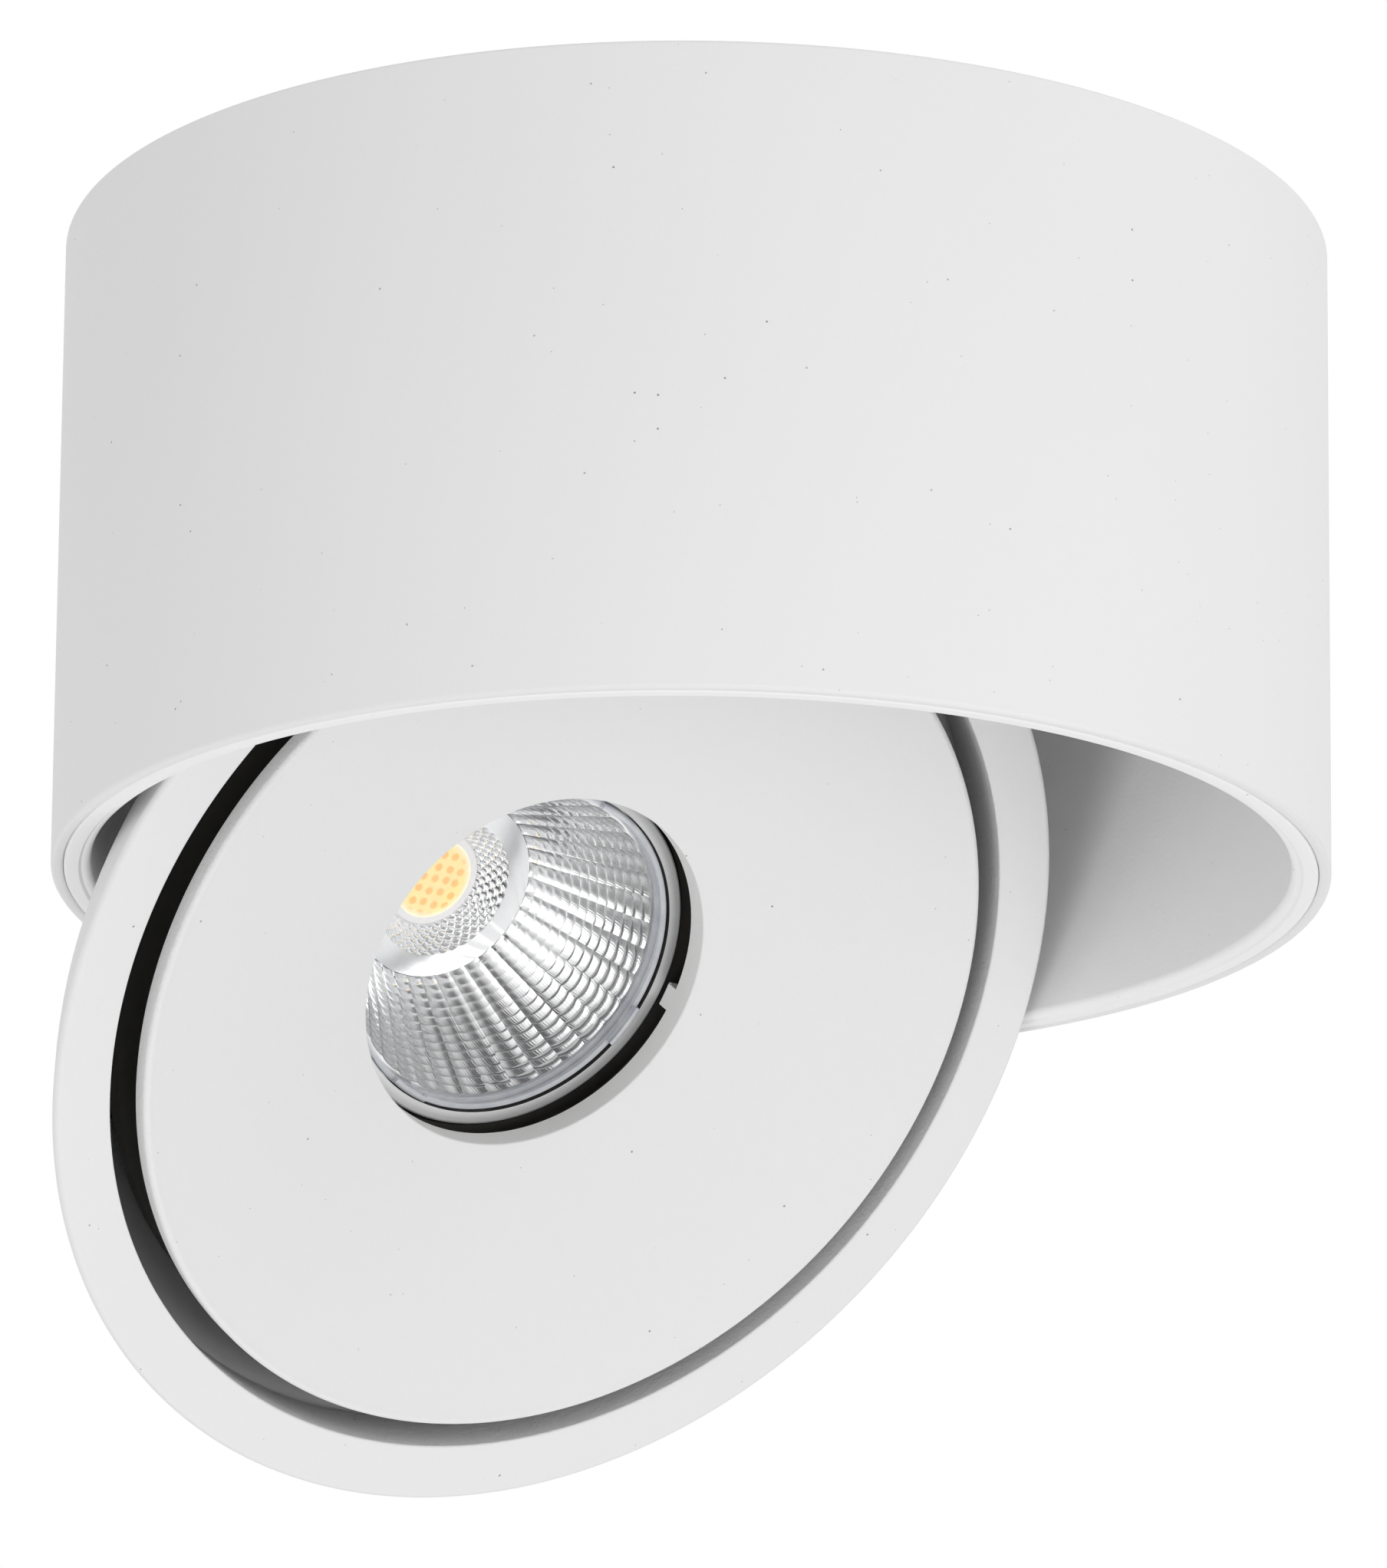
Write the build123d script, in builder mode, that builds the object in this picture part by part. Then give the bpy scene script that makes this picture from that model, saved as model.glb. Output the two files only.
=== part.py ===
from build123d import *
import os
from math import acos, asin, cos, degrees, hypot, radians, sin, sqrt

# Surface-mounted eyeball downlight. The origin is the centre of the ceiling face, +Z is up, sizes are in
# millimetres. The head is drawn as it is aimed in use: tilted towards -Y, about a level axis along X.

os.makedirs("parts", exist_ok=True)

# Aim
rest_tilt = 51.3
max_tilt = 55.0
stow_recess = 2.4

# Face of the head
ring_radius = 54.0
ring_face = 6.1
ring_crown = 0.3
ring_edge_round = 0.5
ring_edge = 2.0
ring_spigot_wall = 1.2
groove = 2.9
disc_proud = 1.7
disc_edge = 2.06
disc_edge_round = 0.45
dish_depth = 6.85
hole_radius = 18.2
hole_wall = 2.5
hole_lug_angle = -1.2
hole_lug_sweep_angle = 7.0
hole_lug_wall = 1.2
hole_lug_step = 0.4
disc_boss_inset = 11.0
disc_boss_radius = 3.0

# Dome behind the face
dome_step = 0.26
dome_wall = 1.2
dome_screw_angle = 31.0
dome_screw_angles = (30, 150, 270)

# Light engine, measured back from the plane of the ring's edge
lens_depth = 10.0
lens_radius = 17.0
lens_thick = 1.4
lens_tab = 4.4
lens_tab_angle = -16.5
lens_tab_rise = 0.7
lens_ring_wall = 1.3
lens_ring_rise = 0.3
lens_ring_height = 3.3
reflector_rim = 1.0
reflector_wall = 1.2
reflector_depth = 12.5
reflector_flange = 1.0
reflector_foot = 9.5
flute_count = 36
flute_depth = 0.35
collar_inner = 7.15
collar_height = 2.6
emitter_radius = 4.1
emitter_thick = 0.5
dam_width = 0.65
board_side = 13.4
board_thick = 1.2
holder_gap = 0.4

# Heat sink
sink_edge_inset = 1.0
sink_plate = 2.0
sink_plate_gap = 1.3
sink_inner_inset = 6.0
cup_wall = 1.7
cup_ledge = 1.1
cup_floor = 2.66
fin_count = 18
fin_thick = 1.5
fin_clearance = 0.8
post_radius = 2.6

# Tilt bearing
saddle_angle = 8.0
saddle_half_angle = 4.6
saddle_half_width = 12.0
saddle_screw_spread = 16.0
key_width = 6.0
key_half_angle = 3.4
slide_gap = 0.32
stop_angle = 0.5
bolt_radius = 2.0
bolt_head_radius = 4.5
bolt_head_thick = 1.5
tilt_washer_radius = 6.0
tilt_washer_thick = 0.6

# Pan bearing
stem_radius = 5.0
stem_bore = 3.5
stem_rise = 5.0
running_fit = 0.05
pan_washer_radius = 14.0
pan_washer_thick = 0.8
spring_washer_radius = 8.0
spring_washer_thick = 0.8
pan_nut_width = 15.0
pan_nut_thick = 3.0
carriage_radius = 26.0
carriage_thick = 2.0
dome_headroom = 4.1
stop_tab_width = 6.0
stop_tab_reach = 6.0
stop_pin_radius = 1.5

# Can, liner and ceiling fixing
mouth_clearance = 1.2
lip_width = 2.2
lip_height = 4.0
lip_step = 0.25
lip_ridge = 1.05
lip_round = 0.8
seam = 0.4
can_wall = 1.15
can_edge_round = 0.35
liner_wall = 1.5
liner_flange_thick = 1.5
liner_flange_width = 12.0
bracket_length = 104.0
bracket_width = 24.0
bracket_thick = 1.5
bracket_slot_inset = 10.0
bracket_slot_length = 10.0
bracket_slot_width = 4.5
bracket_cable_hole = 8.0
ceiling_screw_room = 2.5
ceiling_screw_clearance = 5.5
stud_spacing = 52.0
stud_radius = 2.0
stud_head_radius = 3.8
stud_head_thick = 1.2
keyhole_travel = 9.0
keyhole_clearance = 0.3
top_plate_thick = 1.5
bay_height = 11.0
chassis_thick = 1.5
chassis_gap = 2.8
pillar_radius = 3.0
pillar_inset = 9.75
pillar_angles = (90, 210, 330)
chassis_screw_radius = 1.5
chassis_screw_length = 8.0
screw_head_radius = 2.8
screw_head_thick = 2.0
grommet_side = 16.0
grommet_inset = 26.0
grommet_bore = 4.0
grommet_wall = 2.0
grommet_flange = 2.0
grommet_flange_thick = 1.0

# Driver and supply terminals
driver_length = 66.0
driver_height = 9.5
driver_gap = 3.2
driver_round = 2.0
driver_ear = 8.0
driver_ear_width = 9.0
driver_ear_thick = 2.0
terminal_length = 24.0
terminal_width = 14.0
terminal_height = 9.0
terminal_side = 20.0
terminal_inset = 20.0
terminal_poles = 3
terminal_wire_radius = 1.6
terminal_screw_radius = 1.8
terminal_screw_depth = 3.0

# Small screws
small_screw_radius = 1.4
small_screw_head = 2.4
small_screw_head_thick = 1.4
screw_clearance = 0.15
seat_gap = 0.05

# Levels below the ceiling
top_plate_top = -(bracket_thick + ceiling_screw_room)
top_plate_bottom = top_plate_top - top_plate_thick
chassis_top = top_plate_bottom - bay_height
chassis_bottom = chassis_top - chassis_thick
carriage_top = chassis_bottom - pan_washer_thick
carriage_bottom = carriage_top - carriage_thick

# The dome and the ring's edge lie on spheres about the tilt centre, which sits below the can's mouth. The
# spheres are as deep behind the ring as the light engine, the tilt bolt and the dome's wall need.
engine_depth = lens_depth + lens_thick + reflector_depth + collar_height + board_thick + cup_floor
bolt_room = bolt_head_thick + tilt_washer_thick + 2 * slide_gap
dome_depth = engine_depth + bolt_room + dome_wall + dome_step
aim_drop = (ring_radius**2 - dome_depth**2) / (2 * dome_depth)
edge_sphere = hypot(ring_radius, aim_drop)
dome_radius = edge_sphere - dome_step
dome_bore = dome_radius - dome_wall
tilt_z = carriage_bottom - dome_headroom - dome_radius
rim_z = tilt_z + aim_drop - stow_recess
mouth_radius = sqrt(edge_sphere**2 - (aim_drop - stow_recess) ** 2) + mouth_clearance
lip_radius = mouth_radius + lip_width
can_bore = lip_radius + seam
can_radius = can_bore + can_wall
liner_radius = mouth_radius + liner_wall
deck_radius = can_bore - chassis_gap
bracket_slot_spacing = bracket_length - 2 * bracket_slot_inset
pillar_circle = 2 * (liner_radius - pillar_inset)
grommet_place = (grommet_side, grommet_inset - deck_radius)
terminal_place = (-terminal_side, terminal_inset + terminal_width / 2 - deck_radius)

# The driver fills the deck between the pan nut and the deck's edge
driver_near = pan_nut_width / sqrt(3) + driver_gap
driver_far = sqrt((deck_radius - driver_gap) ** 2 - (driver_length / 2) ** 2)
driver_width = driver_far - driver_near
driver_place_y = (driver_far + driver_near) / 2

# Directions of the head at rest: where it aims, and up the slope of its face
rest = radians(rest_tilt)
aim = Vector(0, -sin(rest), -cos(rest))
up_slope = Vector(0, -cos(rest), sin(rest))
across = Vector(1, 0, 0)
tilt_centre = Vector(0, 0, tilt_z)
face_centre = tilt_centre - aim * aim_drop
head_axis = Axis(face_centre, aim)
tilt_axis = Axis(tilt_centre, -across)
face_plane = Plane(origin=face_centre, x_dir=across, z_dir=aim)

# Radii and depths of the face and the light engine
ring_inner = ring_radius - ring_face
disc_radius = ring_inner - groove
disc_boss_circle = disc_radius - disc_boss_inset
sink_inner_circle = disc_boss_circle - sink_inner_inset
disc_back = disc_proud - disc_edge
hole_front = disc_proud - dish_depth
hole_back = hole_front - hole_wall
lens_front = -lens_depth
lens_back = lens_front - lens_thick
flute_mouth = lens_radius - reflector_rim
foot_level = lens_back - reflector_depth
board_top = foot_level - collar_height
board_bottom = board_top - board_thick
lens_ring_front = lens_front + lens_ring_rise
lens_ring_back = lens_ring_front - lens_ring_height
lens_ring_bore = lens_radius + seat_gap
lens_ring_radius = lens_ring_bore + lens_ring_wall
cup_bore = lens_ring_radius + slide_gap
cup_radius = cup_bore + cup_wall
cup_front = lens_front - lens_ring_rise
ledge_radius = cup_bore - cup_ledge
ledge_level = lens_ring_back - reflector_flange
sink_plate_front = disc_back - (disc_radius - sink_inner_circle) * dish_depth / (disc_radius - hole_radius)
sink_plate_front = sink_plate_front - sink_plate_gap
sink_plate_back = sink_plate_front - sink_plate
cup_floor_back = board_bottom - cup_floor
holder_radius = ledge_radius - holder_gap
holder_bore = reflector_foot + seat_gap
holder_top = foot_level - reflector_flange / 2
holder_screw_seat = holder_top - small_screw_head_thick
holder_screw_circle = holder_radius + holder_bore


def tilt_section(angle):
    """Plane through the tilt axis, its height along the radius at an angle from +Z towards +Y."""
    turn = radians(angle)
    return Plane(origin=tilt_centre, x_dir=across, z_dir=(0, -cos(turn), sin(turn)))


def tilt_radial(angle, reach):
    """Plane square to the radius at an angle from +Z towards +Y, at a reach from the tilt centre."""
    turn = radians(angle)
    out = Vector(0, sin(turn), cos(turn))
    return Plane(origin=tilt_centre + out * reach, x_dir=across, z_dir=out)


def head_section(angle):
    """Plane through the head's axis: radius along its x, height along the aim."""
    turn = radians(angle)
    out = across * cos(turn) + up_slope * sin(turn)
    return Plane(origin=face_centre, x_dir=out, z_dir=out.cross(aim))


def head_place(circle, angle, level):
    """Plane across the head's axis at a point on a circle about it, facing the aim."""
    turn = radians(angle)
    out = across * cos(turn) + up_slope * sin(turn)
    return Plane(origin=face_centre + out * circle + aim * level, x_dir=across, z_dir=aim)


def dome_radial(angle, reach):
    """Plane square to the dome at one of its screws, at a reach from the tilt centre."""
    turn = radians(angle)
    side = across * cos(turn) + up_slope * sin(turn)
    lean = radians(dome_screw_angle)
    out = side * sin(lean) - aim * cos(lean)
    return Plane(origin=tilt_centre + out * reach, x_dir=side.cross(aim), z_dir=out)


def sphere_width(sphere, level):
    """Radius about the head's axis of a sphere round the tilt centre, at a level of the head."""
    return sqrt(sphere**2 - (aim_drop - level) ** 2)


def sphere_level(sphere, radius):
    """Level of the head where a sphere round the tilt centre has a radius about the head's axis."""
    return aim_drop - sqrt(sphere**2 - radius**2)


def sphere_arc(sphere, level):
    """Start angle and size of the arc from the dome's crown to a level of the head."""
    return -90, 90 - degrees(asin((aim_drop - level) / sphere))


def polar_points(circle, angles):
    """Points on a circle about the origin."""
    return [(circle / 2 * cos(radians(a)), circle / 2 * sin(radians(a))) for a in angles]


def flute_point(radius, angle):
    """Point on a circle about the head's axis, in a sketch across it."""
    return (radius * cos(radians(angle)), radius * sin(radians(angle)))


def keep(builder, name):
    """Name the finished piece and write it."""
    builder.part.label = name
    export_step(builder.part, f"parts/{name}.step")


# Ceiling strip: flat steel with two slots for the ceiling screws and a hole for the supply cable
with BuildPart() as ceiling_bracket:
    with BuildSketch(Plane.XY.offset(-bracket_thick)):
        SlotOverall(bracket_length, bracket_width)
        with Locations((-bracket_slot_spacing / 2, 0), (bracket_slot_spacing / 2, 0)):
            SlotOverall(bracket_slot_length, bracket_slot_width, mode=Mode.SUBTRACT)
        Circle(bracket_cable_hole, mode=Mode.SUBTRACT)
    extrude(amount=bracket_thick)
keep(ceiling_bracket, "ceiling_bracket")

# Mushroom studs welded under the strip, which the can's keyholes twist on to
stud_points = [(-stud_spacing / 2, 0), (stud_spacing / 2, 0)]
stud_neck = top_plate_bottom - keyhole_clearance
with BuildPart() as bracket_studs:
    with BuildSketch(Plane.XY.offset(-bracket_thick)):
        with Locations(*stud_points):
            Circle(stud_radius)
    extrude(amount=stud_neck + bracket_thick)
    with BuildSketch(Plane.XY.offset(stud_neck)):
        with Locations(*stud_points):
            Circle(stud_head_radius)
    extrude(amount=-stud_head_thick)
keep(bracket_studs, "bracket_studs")

# Can: white turned sleeve that meets the ceiling
with BuildPart() as housing_can:
    with BuildSketch(Plane.XY.offset(rim_z)):
        Circle(can_radius)
        Circle(can_bore, mode=Mode.SUBTRACT)
    extrude(amount=-rim_z)
    fillet(housing_can.edges().filter_by(GeomType.CIRCLE).sort_by(SortBy.RADIUS)[-2:], can_edge_round)
keep(housing_can, "housing_can")

# Top plate: disc pressed into the can, with keyholes, room for the ceiling screws and the cable inlet
pillar_points = polar_points(pillar_circle, pillar_angles)
with BuildPart() as top_plate:
    with BuildSketch(Plane.XY.offset(top_plate_bottom)):
        Circle(can_bore - seat_gap)
        with Locations((-bracket_slot_spacing / 2, 0), (bracket_slot_spacing / 2, 0)):
            Circle(ceiling_screw_clearance, mode=Mode.SUBTRACT)
        with Locations(grommet_place):
            Circle(grommet_bore + grommet_wall, mode=Mode.SUBTRACT)
        with Locations(*pillar_points):
            Circle(chassis_screw_radius + screw_clearance, mode=Mode.SUBTRACT)
        for side in (-1, 1):
            with Locations((side * stud_spacing / 2, -side * keyhole_travel / 2)):
                neck_width = 2 * (stud_radius + keyhole_clearance)
                SlotCenterToCenter(keyhole_travel, neck_width, rotation=90, mode=Mode.SUBTRACT)
            with Locations((side * stud_spacing / 2, -side * keyhole_travel)):
                Circle(stud_head_radius + keyhole_clearance, mode=Mode.SUBTRACT)
    extrude(amount=top_plate_thick)
keep(top_plate, "top_plate")

# Rubber grommet in the cable inlet of the top plate
with BuildPart() as cable_grommet:
    grommet_body = grommet_bore + grommet_wall - seat_gap
    with BuildSketch(Plane.XY.offset(top_plate_bottom - grommet_flange_thick)):
        with Locations(grommet_place):
            Circle(grommet_body + grommet_flange)
    extrude(amount=grommet_flange_thick)
    with BuildSketch(Plane.XY.offset(top_plate_bottom)):
        with Locations(grommet_place):
            Circle(grommet_body)
    extrude(amount=top_plate_thick)
    with BuildSketch(Plane.XY.offset(top_plate_top)):
        with Locations(grommet_place):
            Circle(grommet_body + grommet_flange)
    extrude(amount=grommet_flange_thick)
    with BuildSketch(Plane.XY.offset(top_plate_bottom - grommet_flange_thick)):
        with Locations(grommet_place):
            Circle(grommet_bore)
    extrude(amount=top_plate_thick + 2 * grommet_flange_thick, mode=Mode.SUBTRACT)
keep(cable_grommet, "cable_grommet")

# Pillars between the can's top plate and the deck
with BuildPart() as chassis_pillars:
    with BuildSketch(Plane.XY.offset(chassis_top)):
        with Locations(*pillar_points):
            Circle(pillar_radius)
            Circle(chassis_screw_radius + seat_gap, mode=Mode.SUBTRACT)
    extrude(amount=bay_height)
keep(chassis_pillars, "chassis_pillars")

# Deck: steel plate that carries the driver on top and the turning carriage below
driver_screw_points = [
    (-(driver_length + driver_ear) / 2, driver_place_y),
    ((driver_length + driver_ear) / 2, driver_place_y),
]
stop_circle = carriage_radius + stop_tab_reach / 2
with BuildPart() as chassis_plate:
    with BuildSketch(Plane.XY.offset(chassis_bottom)):
        Circle(deck_radius)
        Circle(stem_radius + running_fit, mode=Mode.SUBTRACT)
        with Locations(*pillar_points):
            Circle(chassis_screw_radius + screw_clearance, mode=Mode.SUBTRACT)
        with Locations(*driver_screw_points):
            Circle(small_screw_radius + seat_gap, mode=Mode.SUBTRACT)
        with Locations((0, stop_circle)):
            Circle(stop_pin_radius + seat_gap, mode=Mode.SUBTRACT)
    extrude(amount=chassis_thick)
keep(chassis_plate, "chassis_plate")

# Liner: white sleeve inside the can with a rolled lip at the mouth
liner_flange_bottom = chassis_bottom - liner_flange_thick
with BuildPart() as inner_liner:
    with BuildSketch(Plane.XZ):
        with BuildLine():
            ridge = Line((lip_radius, rim_z), (lip_radius - lip_ridge, rim_z))
            step = Line(ridge @ 1, (lip_radius - lip_ridge - lip_step, rim_z + lip_step))
            shelf = Line(step @ 1, (mouth_radius + lip_round, rim_z + lip_step))
            nose = RadiusArc(shelf @ 1, (mouth_radius, rim_z + lip_step + lip_round), lip_round)
            bore = Line(nose @ 1, (mouth_radius, chassis_bottom))
            over = Line(bore @ 1, (liner_radius, chassis_bottom))
            wall = Line(over @ 1, (liner_radius, rim_z + lip_height + lip_width - liner_wall))
            slope = Line(wall @ 1, (lip_radius, rim_z + lip_height))
            Line(slope @ 1, ridge @ 0)
        make_face()
    revolve(axis=Axis.Z)
keep(inner_liner, "inner_liner")

# Ring welded inside the liner's top end, which is screwed up under the deck
with BuildPart() as liner_flange:
    with BuildSketch(Plane.XY.offset(liner_flange_bottom)):
        Circle(mouth_radius - seat_gap)
        Circle(mouth_radius - liner_flange_width, mode=Mode.SUBTRACT)
        with Locations(*pillar_points):
            Circle(chassis_screw_radius + screw_clearance, mode=Mode.SUBTRACT)
    extrude(amount=liner_flange_thick)
keep(liner_flange, "liner_flange")

# Screws through liner flange and deck into the pillars
with BuildPart() as chassis_screws:
    with BuildSketch(Plane.XY.offset(liner_flange_bottom)):
        with Locations(*pillar_points):
            Circle(screw_head_radius)
    extrude(amount=-screw_head_thick)
    with BuildSketch(Plane.XY.offset(liner_flange_bottom)):
        with Locations(*pillar_points):
            Circle(chassis_screw_radius)
    extrude(amount=chassis_screw_length)
    with BuildSketch(Plane.XY.offset(liner_flange_bottom - screw_head_thick)):
        with Locations(*pillar_points):
            RegularPolygon(screw_head_radius / 2, 6)
    extrude(amount=screw_head_thick / 2, mode=Mode.SUBTRACT)
keep(chassis_screws, "chassis_screws")

# Driver: closed plastic case with an ear at each end, standing on the deck
with BuildPart() as driver_case:
    with BuildSketch(Plane.XY.offset(chassis_top)):
        with Locations((0, driver_place_y)):
            RectangleRounded(driver_length, driver_width, driver_round)
    extrude(amount=driver_height)
    fillet(driver_case.faces().sort_by(Axis.Z)[-1].edges(), driver_round / 2)
    with BuildSketch(Plane.XY.offset(chassis_top)):
        with Locations((0, driver_place_y)):
            SlotOverall(driver_length + 2 * driver_ear, driver_ear_width)
        with Locations(*driver_screw_points):
            Circle(small_screw_radius + screw_clearance, mode=Mode.SUBTRACT)
    extrude(amount=driver_ear_thick)
keep(driver_case, "driver_case")

# Screws through the driver's ears into the deck
driver_screw_seat = chassis_top + driver_ear_thick
with BuildPart() as driver_screws:
    with BuildSketch(Plane.XY.offset(driver_screw_seat)):
        with Locations(*driver_screw_points):
            Circle(small_screw_head)
    extrude(amount=small_screw_head_thick)
    with BuildSketch(Plane.XY.offset(driver_screw_seat)):
        with Locations(*driver_screw_points):
            Circle(small_screw_radius)
    extrude(amount=-(driver_ear_thick + chassis_thick))
    with BuildSketch(Plane.XY.offset(driver_screw_seat + small_screw_head_thick)):
        with Locations(*driver_screw_points):
            RegularPolygon(small_screw_head / 2, 6)
    extrude(amount=-small_screw_head_thick / 2, mode=Mode.SUBTRACT)
keep(driver_screws, "driver_screws")

# Terminal block: moulded body with a wire hole and a screw well for each pole
terminal_top = chassis_top + terminal_height
terminal_pitch = terminal_length / terminal_poles
pole_points = [
    (terminal_place[0] + (pole - (terminal_poles - 1) / 2) * terminal_pitch, terminal_place[1])
    for pole in range(terminal_poles)
]
with BuildPart() as terminal_block:
    with BuildSketch(Plane.XY.offset(chassis_top)):
        with Locations(terminal_place):
            RectangleRounded(terminal_length, terminal_width, terminal_wire_radius)
    extrude(amount=terminal_height)
    with BuildSketch(Plane.XY.offset(terminal_top - terminal_screw_depth)):
        with Locations(*pole_points):
            Circle(terminal_screw_radius + seat_gap)
    extrude(amount=terminal_screw_depth, mode=Mode.SUBTRACT)
    with BuildSketch(Plane.XZ.offset(-terminal_place[1] - terminal_width / 2)):
        with Locations(*[(x, chassis_top + terminal_height / 3) for x, y in pole_points]):
            Circle(terminal_wire_radius)
    extrude(amount=terminal_width, mode=Mode.SUBTRACT)
keep(terminal_block, "terminal_block")

# Slotted clamp screws in the wells of the terminal block
with BuildPart() as terminal_screws:
    with BuildSketch(Plane.XY.offset(terminal_top - terminal_screw_depth)):
        with Locations(*pole_points):
            Circle(terminal_screw_radius)
    extrude(amount=terminal_screw_depth / 2)
    with BuildSketch(Plane.XY.offset(terminal_top - terminal_screw_depth / 2)):
        with Locations(*pole_points):
            Rectangle(3 * terminal_screw_radius, terminal_screw_radius / 3)
    extrude(amount=-terminal_screw_depth / 4, mode=Mode.SUBTRACT)
keep(terminal_screws, "terminal_screws")

# Stop pin pressed into the deck, which the carriage's tab meets at each end of its turn
with BuildPart() as pan_stop:
    with BuildSketch(Plane.XY.offset(carriage_bottom)):
        with Locations((0, stop_circle)):
            Circle(stop_pin_radius)
    extrude(amount=chassis_top - carriage_bottom)
keep(pan_stop, "pan_stop")

# Carriage: plate with a hollow stem that turns in the deck, and the stop tab on its rim
stem_top = chassis_top + stem_rise
saddle_y = (dome_radius + slide_gap) * sin(radians(saddle_angle))
saddle_screw_points = [(-saddle_screw_spread / 2, saddle_y), (saddle_screw_spread / 2, saddle_y)]
with BuildPart() as carriage:
    with BuildSketch(Plane.XY.offset(carriage_bottom)):
        Circle(carriage_radius)
        with Locations((0, -carriage_radius)):
            Rectangle(stop_tab_width, 2 * stop_tab_reach)
    extrude(amount=carriage_thick)
    with BuildSketch(Plane.XY.offset(carriage_top)):
        Circle(stem_radius)
    extrude(amount=stem_top - carriage_top)
    with BuildSketch(Plane.XY.offset(carriage_bottom)):
        Circle(stem_bore)
    extrude(amount=stem_top - carriage_bottom, mode=Mode.SUBTRACT)
    with BuildSketch(Plane.XY.offset(carriage_bottom)):
        with Locations(*saddle_screw_points):
            Circle(small_screw_radius + screw_clearance)
    extrude(amount=carriage_thick, mode=Mode.SUBTRACT)
    with BuildSketch(Plane.XY.offset(carriage_top - small_screw_head_thick)):
        with Locations(*saddle_screw_points):
            Circle(small_screw_head + screw_clearance)
    extrude(amount=small_screw_head_thick, mode=Mode.SUBTRACT)
keep(carriage, "carriage")

# Friction washer between carriage and deck
with BuildPart() as pan_washer:
    with BuildSketch(Plane.XY.offset(carriage_top)):
        Circle(pan_washer_radius)
        Circle(stem_radius + screw_clearance, mode=Mode.SUBTRACT)
        with Locations(*saddle_screw_points):
            Circle(small_screw_head + screw_clearance, mode=Mode.SUBTRACT)
    extrude(amount=pan_washer_thick)
keep(pan_washer, "pan_washer")

# Spring washer and nut that draw the carriage up to the deck
with BuildPart() as pan_spring_washer:
    with BuildSketch(Plane.XY.offset(chassis_top)):
        Circle(spring_washer_radius)
        Circle(stem_radius + screw_clearance, mode=Mode.SUBTRACT)
    extrude(amount=spring_washer_thick)
keep(pan_spring_washer, "pan_spring_washer")

with BuildPart() as pan_nut:
    with BuildSketch(Plane.XY.offset(chassis_top + spring_washer_thick)):
        RegularPolygon(pan_nut_width / 2, 6, major_radius=False)
        Circle(stem_radius + seat_gap, mode=Mode.SUBTRACT)
    extrude(amount=pan_nut_thick)
keep(pan_nut, "pan_nut")

# Saddle: cast block under the carriage, hollowed to the dome, with a key that runs in the dome's slot
saddle_near = (dome_radius + slide_gap) * sin(radians(saddle_angle - saddle_half_angle))
saddle_far = (dome_radius + slide_gap) * sin(radians(saddle_angle + saddle_half_angle))
saddle_foot = tilt_z + (dome_radius + slide_gap) * cos(radians(saddle_angle + saddle_half_angle))
bolt_reach = (carriage_bottom - tilt_z) / cos(radians(saddle_angle)) - bolt_radius
key_bottom = dome_bore + slide_gap / 2
with BuildPart() as tilt_saddle:
    with BuildSketch(Plane.XY.offset(saddle_foot)):
        with Locations((0, (saddle_near + saddle_far) / 2)):
            Rectangle(2 * saddle_half_width, saddle_far - saddle_near)
    extrude(amount=carriage_bottom - saddle_foot)
    with Locations(tilt_centre):
        Sphere(dome_radius + slide_gap, mode=Mode.SUBTRACT)
    with BuildSketch(tilt_section(saddle_angle - key_half_angle)):
        with Locations((0, (key_bottom + dome_radius + 2 * slide_gap) / 2)):
            Rectangle(key_width, dome_radius + 2 * slide_gap - key_bottom)
    revolve(axis=tilt_axis, revolution_arc=2 * key_half_angle)
    with BuildSketch(tilt_radial(saddle_angle, dome_bore)):
        Circle(bolt_radius + seat_gap)
    extrude(amount=bolt_reach - dome_bore, mode=Mode.SUBTRACT)
    with BuildSketch(Plane.XY.offset(carriage_bottom)):
        with Locations(*saddle_screw_points):
            Circle(small_screw_radius + seat_gap)
    extrude(amount=-2 * small_screw_head_thick, mode=Mode.SUBTRACT)
keep(tilt_saddle, "tilt_saddle")

# Screws that hold the saddle, sunk into the top of the carriage
with BuildPart() as saddle_screws:
    with BuildSketch(Plane.XY.offset(carriage_top - small_screw_head_thick)):
        with Locations(*saddle_screw_points):
            Circle(small_screw_head)
    extrude(amount=small_screw_head_thick)
    with BuildSketch(Plane.XY.offset(carriage_top - small_screw_head_thick)):
        with Locations(*saddle_screw_points):
            Circle(small_screw_radius)
    extrude(amount=-(carriage_thick + small_screw_head_thick))
    with BuildSketch(Plane.XY.offset(carriage_top)):
        with Locations(*saddle_screw_points):
            RegularPolygon(small_screw_head / 2, 6)
    extrude(amount=-small_screw_head_thick / 2, mode=Mode.SUBTRACT)
keep(saddle_screws, "saddle_screws")

# Dished spring washer inside the dome, which the tilt bolt draws against it
washer_outer = dome_bore - slide_gap
washer_inner = washer_outer - tilt_washer_thick
with BuildPart() as tilt_washer:
    with BuildSketch(tilt_radial(saddle_angle, 0)):
        Circle(tilt_washer_radius)
        Circle(bolt_radius + screw_clearance, mode=Mode.SUBTRACT)
    extrude(amount=dome_radius)
    with Locations(tilt_centre):
        Sphere(washer_outer, mode=Mode.INTERSECT)
        Sphere(washer_inner, mode=Mode.SUBTRACT)
keep(tilt_washer, "tilt_washer")

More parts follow.
